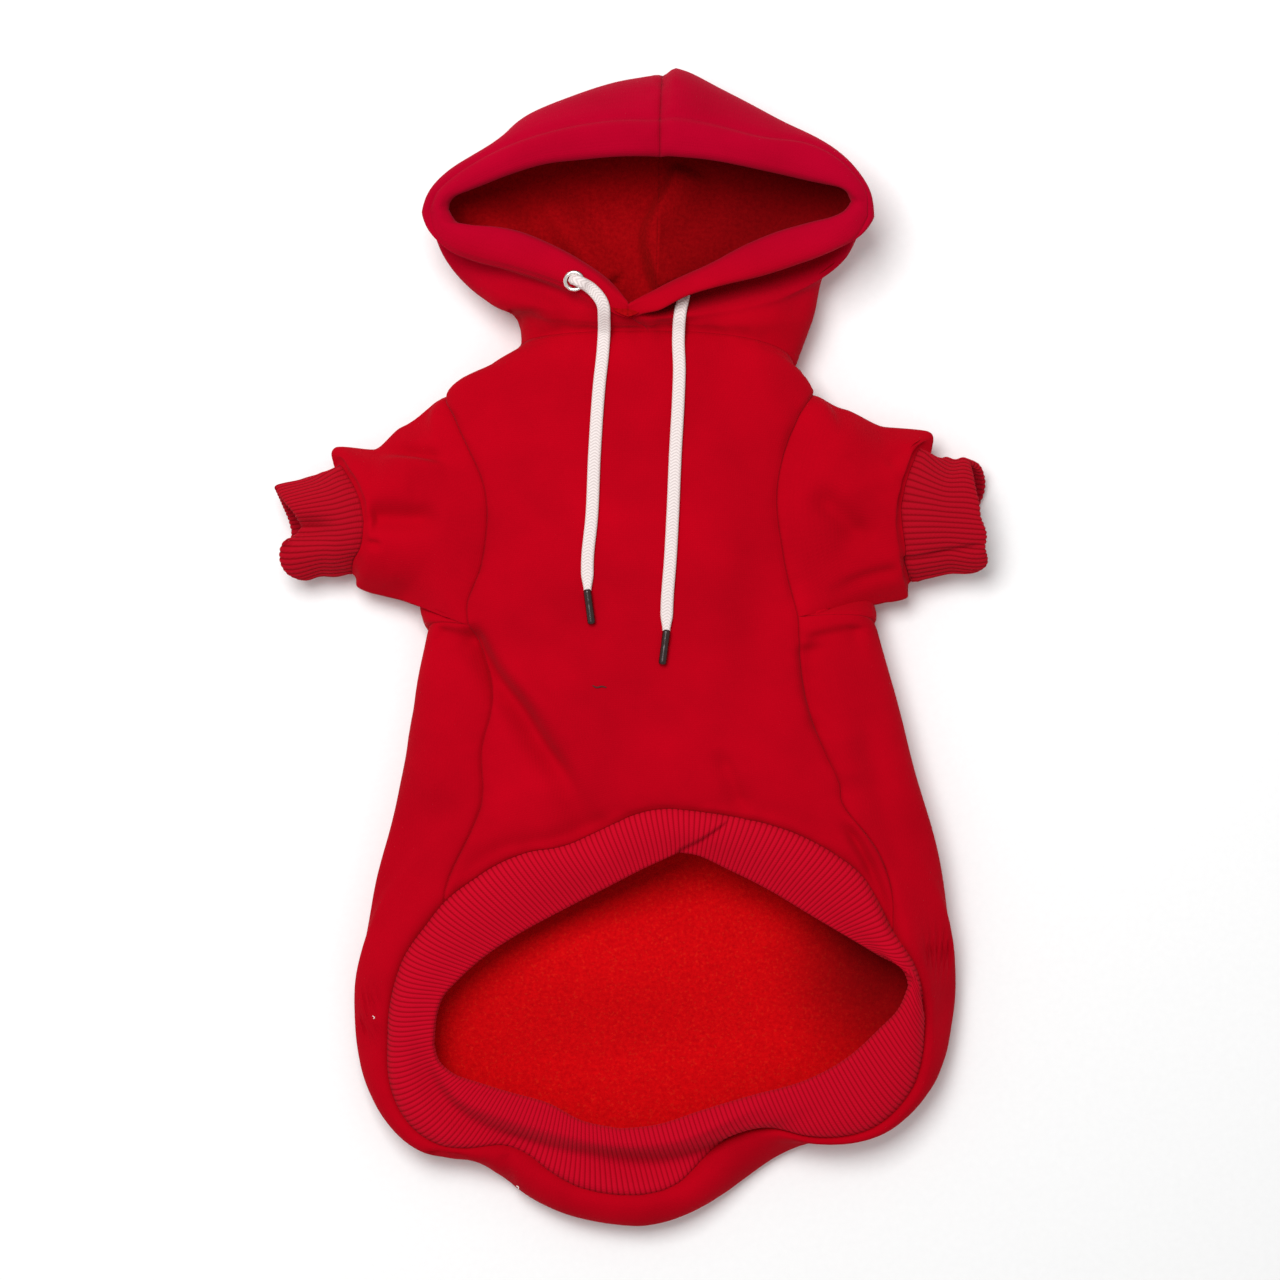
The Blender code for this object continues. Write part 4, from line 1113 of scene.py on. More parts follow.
@dataclass(frozen=True)
class BrushedFleece(Finish):
    """The fleece's brushed inside: a short raised pile in small tufts, duller and a purer red.

    At the deep end of a mouth a painted shade darkens it, towards a near black red.
    """

    roughness: float = 0.95
    specular: float = 0.05
    sheen: float = 0.05
    sheen_roughness: float = 0.6
    sheen_tint: str = "#ff5a40"
    low: str = "#bc0009"
    high: str = "#d8060c"
    # painted shade: the near black red mixed in where a mouth is deep, with its share, middle and reach on
    # the plan
    pile: str = "#e43a1c"
    painted_shade: str = "#3c0003"
    painted_shade_share: float = 0.68
    painted_shade_middle: Place = (900.0, 965.0)
    painted_shade_reach: Place = (15.0, 72.0)
    tuft: float = 1.7 * MM
    fleck: float = 1.4 * MM

    def pattern(self, tree: Tree, place: Socket) -> dict:
        """Tufts from noise at their own size, with finer fibres, paler flecks and a painted shade.

        The painted shade's share falls as a smooth step of the distance from its middle on the plan.

        Args:
            tree: the material's node tree.
            place: the object coordinates.

        Returns:
            The colour and the bump for the shader.
        """
        tufts = add_node(tree, "ShaderNodeTexNoise",
                         {"Scale": 1.0 / self.tuft, "Detail": 3.0, "Roughness": 0.6, "Vector": place})
        fibres = add_node(tree, "ShaderNodeTexNoise", {"Scale": 1500.0, "Detail": 3.0, "Vector": place})
        height = add_node(tree, "ShaderNodeMath",
                          {"operation": "MULTIPLY_ADD", 0: fibres, 1: 0.35, 2: tufts})
        bump = add_node(tree, "ShaderNodeBump", {"Strength": 0.3, "Distance": 0.6 * MM, "Height": height})
        colour = add_node(tree, "ShaderNodeValToRGB",
                          {"Fac": tufts, "stops": ((0.30, self.low), (0.72, self.high))})
        clumps = add_node(tree, "ShaderNodeTexNoise",
                          {"Scale": 1.0 / self.fleck, "Detail": 1.0, "Vector": place})
        flecks = add_node(tree, "ShaderNodeMapRange",
                          {"From Min": 0.58, "From Max": 0.74, "To Max": 0.16, "Value": clumps})
        blend = add_node(tree, "ShaderNodeMix",
                         {"data_type": "RGBA", 0: flecks, 6: colour, 7: linear(self.pile)})
        # Painted shade: a near black red mixed in by distance on the plan from the deep end of the mouth
        axes = add_node(tree, "ShaderNodeSeparateXYZ", {0: place})
        flat = add_node(tree, "ShaderNodeCombineXYZ", {0: axes.outputs[0], 1: axes.outputs[1]})
        away = add_node(tree, "ShaderNodeVectorMath",
                        {"operation": "DISTANCE", 0: flat, 1: (*on_plan((self.painted_shade_middle,))[0], 0.0)})
        near = add_node(tree, "ShaderNodeMapRange",
                        {"interpolation_type": "SMOOTHSTEP", "From Min": self.painted_shade_reach[0] * MM,
                         "From Max": self.painted_shade_reach[1] * MM, "To Min": self.painted_shade_share, "To Max": 0.0,
                         "Value": away.outputs["Value"]})
        worn_tone_and_painted_shade = add_node(tree, "ShaderNodeMix",
                        {"data_type": "RGBA", 0: near, 6: blend.outputs[2], 7: linear(self.painted_shade)})
        return {"Base Color": worn_tone_and_painted_shade.outputs[2], "Normal": bump}


@dataclass(frozen=True)
class RibKnit(Finish):
    """Rib knit of cotton with elastane: rounded ribs, each a chain of loops, with a painted shade in the
    furrows.

    The cloth's u counts the ribs, so the painted shade darkens the furrows where u is whole, and its
    v runs along them in metres, where the loops are 1.4 mm long.
    """

    specular: float = 0.06
    sheen: float = 0.05
    sheen_tint: str = "#ff9aa8"
    # the furrow colour is painted shade
    furrow: str = "#92000f"
    ridge: str = "#c00422"
    loop: float = 1.4 * MM

    def pattern(self, tree: Tree, place: Socket) -> dict:
        """A ramp from furrow to ridge over |sin(pi u)|, a painted shade in the furrows, and loops as bump.

        The loops are sin(2 pi (0.8 |sin(pi u)| + v / loop)), which leans them into chevrons.

        Args:
            tree: the material's node tree.
            place: the object coordinates.

        Returns:
            The colour and the bump for the shader.
        """
        uv = add_node(tree, "ShaderNodeUVMap", {"uv_map": "cloth"})
        axes = add_node(tree, "ShaderNodeSeparateXYZ", {0: uv})
        phase = add_node(tree, "ShaderNodeMath", {"operation": "MULTIPLY", 0: axes.outputs[0], 1: math.pi})
        wave = add_node(tree, "ShaderNodeMath", {"operation": "SINE", 0: phase})
        crest = add_node(tree, "ShaderNodeMath", {"operation": "ABSOLUTE", 0: wave})
        climb = add_node(tree, "ShaderNodeMath",
                         {"operation": "MULTIPLY", 0: axes.outputs[1], 1: 1.0 / self.loop})
        lean = add_node(tree, "ShaderNodeMath", {"operation": "MULTIPLY_ADD", 0: crest, 1: 0.8, 2: climb})
        turn = add_node(tree, "ShaderNodeMath", {"operation": "MULTIPLY", 0: lean, 1: 2.0 * math.pi})
        loops = add_node(tree, "ShaderNodeMath", {"operation": "SINE", 0: turn})
        fibres = add_node(tree, "ShaderNodeTexNoise", {"Scale": 1400.0, "Detail": 3.0, "Vector": place})
        height = add_node(tree, "ShaderNodeMath", {"operation": "MULTIPLY_ADD", 0: loops, 1: 0.45, 2: fibres})
        bump = add_node(tree, "ShaderNodeBump", {"Strength": 0.35, "Distance": 0.3 * MM, "Height": height})
        # Painted shade: the colour darkens towards the furrows and is lightest on the ribs' crests
        shade = add_node(tree, "ShaderNodeMath", {"operation": "MULTIPLY_ADD", 0: fibres, 1: 0.16, 2: crest})
        colour = add_node(tree, "ShaderNodeValToRGB",
                          {"Fac": shade, "stops": ((0.12, self.furrow), (0.75, self.ridge))})
        return {"Base Color": colour, "Normal": bump}


@dataclass(frozen=True)
class FlatBraid(Finish):
    """Flat braid of white polyester yarn: two crossing sets of strands, soft and slightly shiny."""

    roughness: float = 0.7
    specular: float = 0.35
    sheen: float = 0.1
    shade: str = "#cdbfbc"
    light: str = "#ecdfdc"
    strand: float = 1.5 * MM

    def pattern(self, tree: Tree, place: Socket) -> dict:
        """Chevrons along the cord: sin(2 pi (pingpong(u) + v) / strand), v running along it, with painted
        shade in their hollows.

        Args:
            tree: the material's node tree.
            place: the object coordinates.

        Returns:
            The colour and the bump for the shader.
        """
        uv = add_node(tree, "ShaderNodeUVMap", {"uv_map": "cloth"})
        axes = add_node(tree, "ShaderNodeSeparateXYZ", {0: uv})
        folded = add_node(tree, "ShaderNodeMath",
                          {"operation": "PINGPONG", 0: axes.outputs[0], 1: self.strand})
        slant = add_node(tree, "ShaderNodeMath", {"operation": "ADD", 0: folded, 1: axes.outputs[1]})
        turn = add_node(tree, "ShaderNodeMath",
                        {"operation": "MULTIPLY", 0: slant, 1: 2.0 * math.pi / self.strand})
        strands = add_node(tree, "ShaderNodeMath", {"operation": "SINE", 0: turn})
        fibres = add_node(tree, "ShaderNodeTexNoise", {"Scale": 2400.0, "Detail": 2.0, "Vector": place})
        height = add_node(tree, "ShaderNodeMath",
                          {"operation": "MULTIPLY_ADD", 0: strands, 1: 0.5, 2: fibres})
        bump = add_node(tree, "ShaderNodeBump", {"Strength": 0.25, "Distance": 0.3 * MM, "Height": height})
        # Painted shade: the colour follows the bump's height, darker in the hollows between the strands
        colour = add_node(tree, "ShaderNodeValToRGB",
                          {"Fac": height, "stops": ((0.0, self.shade), (0.7, self.light))})
        return {"Base Color": colour, "Normal": bump}


@dataclass(frozen=True)
class NickelPlate(Finish):
    """Pressed steel eyelet, nickel plated: bright, with faint drawing marks round it."""

    tone: str = "#f3f1ed"

    def pattern(self, tree: Tree, place: Socket) -> dict:
        """Metal whose roughness varies a little with fine noise.

        Args:
            tree: the material's node tree.
            place: the object coordinates.

        Returns:
            The colour, the metal and the roughness for the shader.
        """
        marks = add_node(tree, "ShaderNodeTexNoise", {"Scale": 900.0, "Detail": 2.0, "Vector": place})
        rough = add_node(tree, "ShaderNodeMapRange", {"To Min": 0.16, "To Max": 0.34, "Value": marks})
        return {"Base Color": linear(self.tone), "Metallic": 1.0, "Roughness": rough}


@dataclass(frozen=True)
class TipPlastic(Finish):
    """Hard plastic film shrunk round the cord's end: near black, fairly glossy, slightly wavy."""

    roughness: float = 0.26
    tone: str = "#1a0a09"
    worn_tone_and_painted_shade: str = "#331a17"

    def pattern(self, tree: Tree, place: Socket) -> dict:
        """Dark plastic with a low bump from the yarn under it.

        Args:
            tree: the material's node tree.
            place: the object coordinates.

        Returns:
            The colour and the bump for the shader.
        """
        waves = add_node(tree, "ShaderNodeTexNoise", {"Scale": 700.0, "Detail": 2.0, "Vector": place})
        bump = add_node(tree, "ShaderNodeBump", {"Strength": 0.25, "Distance": 0.2 * MM, "Height": waves})
        colour = add_node(tree, "ShaderNodeValToRGB",
                          {"Fac": waves, "stops": ((0.2, self.tone), (0.9, self.worn_tone_and_painted_shade))})
        return {"Base Color": colour, "Normal": bump}


@dataclass(frozen=True)
class LooseFibre(Finish):
    """A loose textile fibre in one colour, dull, with the fine unevenness of its twist."""

    roughness: float = 0.75
    tone: str = "#f2e9e6"

    def pattern(self, tree: Tree, place: Socket) -> dict:
        """One colour, with fine noise as bump.

        Args:
            tree: the material's node tree.
            place: the object coordinates.

        Returns:
            The colour and the bump for the shader.
        """
        twist = add_node(tree, "ShaderNodeTexNoise", {"Scale": 3000.0, "Detail": 1.0, "Vector": place})
        bump = add_node(tree, "ShaderNodeBump", {"Strength": 0.3, "Distance": 0.1 * MM, "Height": twist})
        return {"Base Color": linear(self.tone), "Normal": bump}


@dataclass(frozen=True)
class PaperFloor(Finish):
    """Matt white paper roll, as a product is photographed on."""

    roughness: float = 0.95
    specular: float = 0.1
    shade: str = "#fafafa"
    tone: str = "#fdfdfd"

    def pattern(self, tree: Tree, place: Socket) -> dict:
        """White with a trace of grain.

        Args:
            tree: the material's node tree.
            place: the object coordinates.

        Returns:
            The colour for the shader.
        """
        grain = add_node(tree, "ShaderNodeTexNoise", {"Scale": 300.0, "Detail": 2.0, "Vector": place})
        colour = add_node(tree, "ShaderNodeValToRGB",
                          {"Fac": grain, "stops": ((0.2, self.shade), (0.8, self.tone))})
        return {"Base Color": colour}


class Wardrobe:
    """The hoodie's materials, each made once."""

    def __init__(self) -> None:
        """Make every finish of the hoodie."""
        self.face = FleeceFace("red_fleece_face").make()
        # The hood's face carries a painted sheen and shade: a pinker, darker red above the neck
        self.hood_face = FleeceFace("red_hood_fleece_face_painted_sheen", sheen=0.09, painted_sheen_low="#9c001e",
                                    painted_sheen_high="#b40028").make()
        # The brushed inside has a painted shade at the deep right end of the hem's mouth
        self.inside = BrushedFleece("red_fleece_brushed_inside_painted_shade").make()
        # The hood's inside is a darker copy of the brushed fleece, painted shade, with more painted shade at
        # its right end
        self.hood_inside = BrushedFleece("red_hood_brushed_inside_painted_shade", low="#8e0007", high="#a8040b",
                                         pile="#b81410", painted_shade_share=0.45, painted_shade_middle=(800.0, 225.0),
                                         painted_shade_reach=(10.0, 95.0)).make()
        self.rib = RibKnit("red_rib_knit").make()
        # The cuffs' rib knit is a darker copy of the hem's: painted shade
        self.cuff_rib = RibKnit("red_cuff_rib_knit_painted_shade", furrow="#82030e", ridge="#ab071d").make()
        self.braid = FlatBraid("white_flat_braid").make()
        self.nickel = NickelPlate("nickel_plate").make()
        self.tip = TipPlastic("dark_shrunk_plastic").make()
        self.lint = LooseFibre("white_lint_fibre").make()
        self.stain = LooseFibre("dark_fibre", tone="#4a0408").make()


CELL = (np.s_[:-1, :-1], np.s_[:-1, 1:], np.s_[1:, 1:], np.s_[1:, :-1])


def cells(grid: Array, flipped: bool = False) -> Array:
    """Take the four corners of every cell of a grid.

    Args:
        grid: point numbers, or u and v, in rows and columns.
        flipped: whether to go round each cell the other way.

    Returns:
        Four values for each cell, in order round it.
    """
    order = CELL[:1] + CELL[:0:-1] if flipped else CELL
    return np.stack([grid[corner].reshape(-1, *grid.shape[2:]) for corner in order], axis=1)


def make_object(name: str, points: Array, faces: Array, materials: list[Material],
                corners: Array | None = None, sides: Array | None = None) -> Piece:
    """Put arrays of points and quads into a smooth-shaded mesh object at the origin.

    Args:
        name: the object's name.
        points: the points, three coordinates each.
        faces: four point numbers for each face; a triangle repeats one of its own.
        materials: the object's materials.
        corners: u and v of each face's four corners.
        sides: which material each face has.

    Returns:
        The new object, linked to the scene.
    """
    mesh = bpy.data.meshes.new(name)
    flat = points.reshape(-1, 3)
    mesh.vertices.add(len(flat))
    mesh.vertices.foreach_set("co", flat.ravel())
    mesh.loops.add(faces.size)
    mesh.loops.foreach_set("vertex_index", faces.ravel())
    mesh.polygons.add(len(faces))
    mesh.polygons.foreach_set("loop_start", np.arange(0, faces.size, 4))
    mesh.polygons.foreach_set("loop_total", np.full(len(faces), 4))
    if corners is not None:
        layer = mesh.uv_layers.new(name="cloth")
        layer.data.foreach_set("uv", corners.astype(np.float32).ravel())
    for made in materials:
        mesh.materials.append(made)
    if sides is not None:
        mesh.polygons.foreach_set("material_index", sides.astype(np.int32))
    mesh.update(calc_edges=True)
    mesh.validate()
    mesh.shade_smooth()
    obj = bpy.data.objects.new(name, mesh)
    bpy.context.scene.collection.objects.link(obj)
    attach(obj, BODY)
    return obj


@dataclass
class Shell:
    """A wall of cloth as one closed mesh: outer side, rounded rim, inner side and back.

    Its rows run over the outer side, round the rim at the last row, back along the inner side
    and round the rim at the first row. Its columns close round in a sleeve, and are capped by
    strips between the two sides in a panel. allowance is how many of the inner side's rows, at
    its first and last edge, show the turned-in seam allowance, which is the outer side's face.
    """

    name: str
    outer: Array
    inner: Array
    closed: bool = False
    first_rim: Array | None = None
    last_rim: Array | None = None
    ribs: int = 0
    allowance: int = 0

    def loop(self) -> tuple[Array, Array]:
        """Put all rows in order.

        Returns:
            The rows, and for each row 1 if the inner side's material shows there, or else 0.
        """
        rows, inside = [], []
        if self.first_rim is not None:
            half = len(self.first_rim) // 2
            rows.append(self.first_rim[half:])
            inside += [0] * (len(self.first_rim) - half)
        rows.append(self.outer)
        inside += [0] * len(self.outer)
        if self.last_rim is not None:
            rows.append(self.last_rim)
            inside += [0] * len(self.last_rim)
        rows.append(self.inner[::-1])
        inside += [0] * self.allowance + [1] * (len(self.inner) - 2 * self.allowance) + [0] * self.allowance
        if self.first_rim is not None:
            rows.append(self.first_rim[:half])
            inside += [0] * half
        return np.concatenate(rows), np.array(inside)

    def build(self, materials: list[Material]) -> Piece:
        """Make the mesh.

        Args:
            materials: the outer side's material, then the inner side's.

        Returns:
            The cloth's object.
        """
        rows, inside = self.loop()
        count, columns = rows.shape[:2]
        index = np.arange(count * columns).reshape(count, columns)
        index = np.vstack([index, index[:1]])
        middle = rows[:, columns // 2]
        v = np.append(run_length(middle), run_length(middle)[-1] + np.linalg.norm(middle[0] - middle[-1]))
        line = rows[count // 4]
        u = run_length(line)
        if self.closed:
            index = np.hstack([index, index[:, :1]])
            u = np.append(u, u[-1] + np.linalg.norm(line[0] - line[-1]))
        if self.ribs:
            u = np.linspace(0.0, self.ribs, index.shape[1])
        uv = np.stack(np.broadcast_arrays(u[None, :], v[:, None]), axis=-1)
        faces, corners = cells(index), cells(uv)
        sides = np.repeat(np.minimum(inside, np.roll(inside, -1)), index.shape[1] - 1)
        if not self.closed:
            low = np.arange(count // 2 - 1)
            caps = []
            for column, order in ((0, (0, 1, 2, 3)), (columns - 1, (3, 2, 1, 0))):
                ends = np.stack([index[low, column], index[low + 1, column],
                                 index[count - 2 - low, column], index[count - 1 - low, column]], axis=1)
                caps.append(ends[:, order])
            caps = np.vstack(caps)
            faces = np.vstack([faces, caps])
            corners = np.vstack([corners, np.zeros((len(caps), 4, 2))])
            sides = np.append(sides, np.zeros(len(caps), dtype=int))
        return make_object(self.name, rows, faces, materials, corners, sides)


def rounded_rim(outer: Array, inner: Array, before: Array, steps: int, bulge: float) -> Array:
    """A half-round edge from the outer side to the inner one.

    Its points are middle + cos(a) (outer - middle) + sin(a) * bulge * forward, a going from 0 to
    half a turn.

    Args:
        outer: the outer side's edge.
        inner: the inner side's edge.
        before: the outer side's row before the edge, which gives the forward direction.
        steps: how many rows the rim has, an even number.
        bulge: how far the rim stands out, as a share of half the wall.

    Returns:
        The rim's rows, from the outer side to the inner one.
    """
    middle = 0.5 * (outer + inner)
    half = outer - middle
    forward = unit(outer - before)
    reach = np.linalg.norm(half, axis=-1, keepdims=True) * bulge
    angles = (np.arange(steps) + 1.0) * math.pi / (steps + 1.0)
    return middle + np.cos(angles)[:, None, None] * half + np.sin(angles)[:, None, None] * reach * forward


def signed_turn(turns: Array, zero: float) -> Array:
    """Turns counted from a zero, from -2 to 2."""
    return np.mod(turns - zero + 2.0, 4.0) - 2.0


@dataclass(frozen=True)
class Lift:
    """A swell or dip at a station and turn, in millimetres, with spans below, above, before and after."""

    name: str
    station: float
    turn: float
    height: float
    spans: tuple[float, float, float, float]

    def at(self, stations: Array, turns: Array) -> Array:
        """Height times exp(-(s/span)^2 - (t/span)^2), each span by the side of the middle.

        Args:
            stations: a station for each row.
            turns: the turns of each row.

        Returns:
            A height along the normal for each place, in metres.
        """
        up = stations[:, None] - self.station
        round_ring = signed_turn(turns, self.turn)
        up = up / np.where(up < 0.0, self.spans[0], self.spans[1])
        round_ring = round_ring / np.where(round_ring < 0.0, self.spans[2], self.spans[3])
        return self.height * MM * np.exp(-up ** 2 - round_ring ** 2)


LIFTS = (
    Lift("crown's right half", 16.0, 1.955, 3.0, (1.6, 1.6, 0.12, 0.022)),
    Lift("crown's left half", 16.0, 2.045, -1.3, (1.6, 1.6, 0.022, 0.10)),
    Lift("notch beside the left end", 15.9, 2.66, -6.5, (1.2, 0.6, 0.12, 0.14)),
    Lift("left end's shoulder", 17.15, 3.00, -2.6, (0.5, 0.35, 0.30, 0.22)),
    Lift("right end's shoulder", 17.15, 1.02, -2.0, (0.5, 0.35, 0.22, 0.30)),
    Lift("right cheek drawn in", 15.0, 0.90, -5.5, (1.3, 0.9, 0.20, 0.24)),
    Lift("left cheek drawn in", 15.0, 3.10, -6.0, (1.3, 0.9, 0.24, 0.22)),
)


@dataclass(frozen=True)
class CasingRoll:
    """The casing turned over along one side of the face, so that it hides the cloth below it.

    turns holds where it starts, is full, starts to fade and ends. The casing is pushed out over
    the cheek and up, and the cheek under it is drawn in and down, by millimetres. over and under
    hold the station and the span of each move.
    """

    name: str
    turns: tuple[float, float, float, float]
    out: Place
    push: float
    rise: float
    tuck: float
    sink: float
    over: Place = (17.35, 0.45)
    under: Place = (15.7, 1.0)

    def at(self, stations: Array, turns: Array) -> Array:
        """Move the casing by bell * (push, rise) and the cheek by -bell * (tuck, sink).

        Each bell is exp(-((s - station)/span)^2), times the roll's share at the turn.

        Args:
            stations: a station for each row.
            turns: the turns of each row.

        Returns:
            How far each place moves, in metres.
        """
        place = signed_turn(turns, 0.0)
        first, full, fade, last = self.turns
        share = smooth_step((place - first) / (full - first)) * smooth_step((last - place) / (last - fade))
        over, under = (np.exp(-((stations - station) / span) ** 2)[:, None]
                       for station, span in (self.over, self.under))
        level = share * (over * self.push - under * self.tuck) * MM
        upright = share * (over * self.rise - under * self.sink) * MM
        return np.stack([level * self.out[0], level * self.out[1], upright], axis=-1)


CASING_ROLLS = (
    CasingRoll("right", (0.02, 0.14, 0.70, 0.98), (0.30, -0.95), 3.8, 2.4, 7.0, 16.0),
    CasingRoll("left", (-0.98, -0.80, -0.40, -0.10), (-0.40, -0.92), 0.4, 1.0, 3.2, 6.5),
)


@dataclass
class Layer:
    """The visible surface: the tube with its folds, and with the hood's padded and rolled casing."""

    casing_bulge: float = 1.5 * MM
    casing_groove: float = 0.25 * MM
    crown_groove: float = 0.65 * MM
    groove_width: float = 0.11
    casing_start: float = 0.20
    samples: tuple[int, int] = (230, 261)

    def from_throat(self, turns: Array) -> Array:
        """Turns from the throat, to either side."""
        return np.abs(signed_turn(turns, 0.0))

    def padding(self, stations: Array, turns: Array) -> Array:
        """Say how padded the cloth is: 1 on the casing, tapering at the throat, and 0 elsewhere.

        Args:
            stations: a station for each row.
            turns: the turns of each row.

        Returns:
            A share for each place.
        """
        on_casing = smooth_step((stations[:, None] - TUBE.casing_seam + 0.02) / 0.06)
        return smooth_step(self.from_throat(turns) / self.casing_start) * on_casing

    def at(self, stations: Array, turns: Array) -> tuple[Array, Array]:
        """The folded outer surface and the tube's normals there.

        The casing stands out by bulge * sin(pi c)^0.7, c going from 0 at its stitch line to 1 at
        the hood's edge, and its stitch line lies in a groove that is deeper over the crown.

        Args:
            stations: a station for each row.
            turns: the turns of each row.

        Returns:
            The outer surface and the unit normals.
        """
        plain, normals = TUBE.surface(stations, turns)
        share = np.clip(stations - TUBE.casing_seam, 0.0, 1.0)[:, None]
        swell = self.casing_bulge * np.sin(math.pi * share) ** 0.7 * self.padding(stations, turns)
        depth = self.casing_groove + self.crown_groove * smooth_step((self.from_throat(turns) - 1.0) / 0.3)
        groove = depth * np.exp(-((stations[:, None] - TUBE.casing_seam) / self.groove_width) ** 2)
        height = swell - groove + sum(lift.at(stations, turns) for lift in LIFTS)
        outer = settle(plain, normals) + normals * height[..., None]
        outer = outer + sum(roll.at(stations, turns) for roll in CASING_ROLLS)
        return outer, normals

    def points(self, last: float, reach: float) -> Array:
        """Sample the surface from the band's seam on.

        Args:
            last: the last station.
            reach: how many turns to go to either side of the front.

        Returns:
            The points, one in each row.
        """
        stations = np.linspace(1.0, last, self.samples[0])
        turns = np.broadcast_to(np.linspace(-reach, reach, self.samples[1]), self.samples)
        return self.at(stations, turns)[0].reshape(-1, 3)


LAYER = Layer()


def declare_cloth(piece: Piece, node: str) -> None:
    """Hide the node that a piece of cloth replaces, and log how many faces the piece has.

    Args:
        piece: the cloth.
        node: the node that it replaces.
    """
    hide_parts(node)
    log.info("%s: %d faces", piece.name, len(piece.data.polygons))


@dataclass
class BodyPanels:
    """The belly and back panels: fleece face outside, brushed inside."""

    wall: float = 2.2 * MM
    rows_below: int = 100
    rows_hole: int = 72
    rows_above: int = 14
    belly_columns: int = 131
    back_columns: int = 181
    belly_flat: Place = (0.24, 0.25)
    belly_area: float = 0.0393
    back_flat: Place = (0.36, 0.44)
    back_area: float = 0.1126

    def stations(self, turn: float) -> Array:
        """Place a panel's rows evenly along a turn, with one on each armhole's end.

        Args:
            turn: the turn.

        Returns:
            A station for each row.
        """
        hole = SEAMS.hole_rows(self.rows_hole)
        below = TUBE.even_stations(1.0, hole[0], turn, self.rows_below)
        above = TUBE.even_stations(hole[-1], TUBE.neck, turn, self.rows_above)
        return np.concatenate([below, hole[1:-1], above])

    def panel(self, node: str, stations: Array, start: Array, end: Array, columns: int,
              wardrobe: Wardrobe) -> Piece:
        """Build one panel.

        Args:
            node: the node's name.
            stations: a station for each row.
            start: the turn at which each row starts.
            end: the turn at which each row ends.
            columns: how many points a row has.
            wardrobe: the materials.

        Returns:
            The panel's cloth.
        """
        share = np.linspace(0.0, 1.0, columns)[None, :]
        turns = start[:, None] + (end - start)[:, None] * share
        outer, normals = LAYER.at(stations, turns)
        outer = sink_edges(outer, normals, {"l": BAND_SEAM_DEPTH, "h": NECK_SEAM_DEPTH,
                                            "f": SIDE_SEAM_DEPTH, "b": SIDE_SEAM_DEPTH})
        return Shell(node + "_cloth", outer, outer - normals * self.wall).build(
            [wardrobe.face, wardrobe.inside])

    def build(self, wardrobe: Wardrobe) -> None:
        """Build both panels, and hide the nodes that they replace.

        Args:
            wardrobe: the materials.
        """
        stations = self.stations(0.0)
        left = SEAMS.edges(stations, Side.LEFT)[0]
        right = SEAMS.edges(stations, Side.RIGHT)[0]
        belly = self.panel("belly_panel", stations, -left, right, self.belly_columns, wardrobe)
        declare_cloth(belly, "belly_panel")
        stations = self.stations(2.0)
        left = SEAMS.edges(stations, Side.LEFT)[1]
        right = SEAMS.edges(stations, Side.RIGHT)[1]
        back = self.panel("back_panel", stations, right, 4.0 - left, self.back_columns, wardrobe)
        declare_cloth(back, "back_panel")


def rib_crests(columns: int, ribs: int) -> Array:
    """Height of a rib at each column, -0.5 in its furrow and 0.5 on its crest: |sin(pi u)| - 0.5."""
    return np.abs(np.sin(math.pi * np.arange(columns) / columns * ribs)) - 0.5


def even_turns(ring: Array, turns: Array, count: int) -> Array:
    """Turns at even distances along a closed ring, from its points at the given turns."""
    run = run_length(np.vstack([ring, ring[:1]]))
    return np.interp(np.arange(count) / count * run[-1], run, np.append(turns, turns[0] + 4.0))


JOINT_LINE = ((760, 796), (728, 818), (700, 836), (676, 851), (671, 864), (670, 880))


@dataclass
class HemBand:
    """The doubled rib band of the hem, with its overlapped joint at the front."""

    wall: float = 3.2 * MM
    rib_pitch: float = 2.35 * MM
    columns_in_rib: int = 6
    outer_rows: int = 18
    inner_rows: int = 12
    rim_rows: int = 8
    rib_height: float = 0.34 * MM
    flat: Place = (0.62, 0.031)
    bulge: float = 1.6 * MM
    joint: tuple[Crease, ...] = (Crease("joint step", JOINT_LINE, 1.8, 0.35, 13.0, (0.0, 0.0)),
                                 Crease("joint seat", JOINT_LINE, -0.9, 3.0, 0.4, (0.0, 0.0)))
    ring_samples: int = 1200

    def build(self, wardrobe: Wardrobe) -> None:
        """Build the band, and hide the node that it replaces.

        The outer side stands out in an arch, bulge * sin(pi d), d going from 0 to 1 across the band.

        Args:
            wardrobe: the materials.
        """
        dense = np.linspace(0.0, 4.0, self.ring_samples, endpoint=False)
        ring = TUBE.plain(np.array([0.5]), dense[None, :])[0]
        ribs = int(round(run_length(ring)[-1] / self.rib_pitch))
        columns = ribs * self.columns_in_rib
        stations = np.linspace(0.0, 1.0, self.outer_rows)
        turns = np.broadcast_to(even_turns(ring, dense, columns), (self.outer_rows, columns))
        outer, normals = LAYER.at(stations, turns)
        down = run_length(outer, axis=0)
        from_seam = down[-1:] - down
        step = relief(self.joint, outer) * smooth_step(from_seam / (4.0 * MM))
        arch = self.bulge * np.sin(math.pi * down / down[-1:])
        seat = seam_drop(from_seam, BAND_SEAM_DEPTH)
        outer = outer + normals * (step + arch - seat)[..., None]
        crest = self.rib_height * rib_crests(columns, ribs)[None, :, None]
        inner = outer - normals * self.wall
        picked = np.linspace(0, self.outer_rows - 1, self.inner_rows).round().astype(int)
        outer = outer + normals * crest
        inner = (inner - normals * crest)[picked]
        rim = rounded_rim(inner[0], outer[0], outer[1], self.rim_rows, 1.1)
        band = Shell("hem_band_rib", outer, inner, closed=True, first_rim=rim, ribs=ribs).build(
            [wardrobe.rib, wardrobe.rib])
        declare_cloth(band, "hem_band")


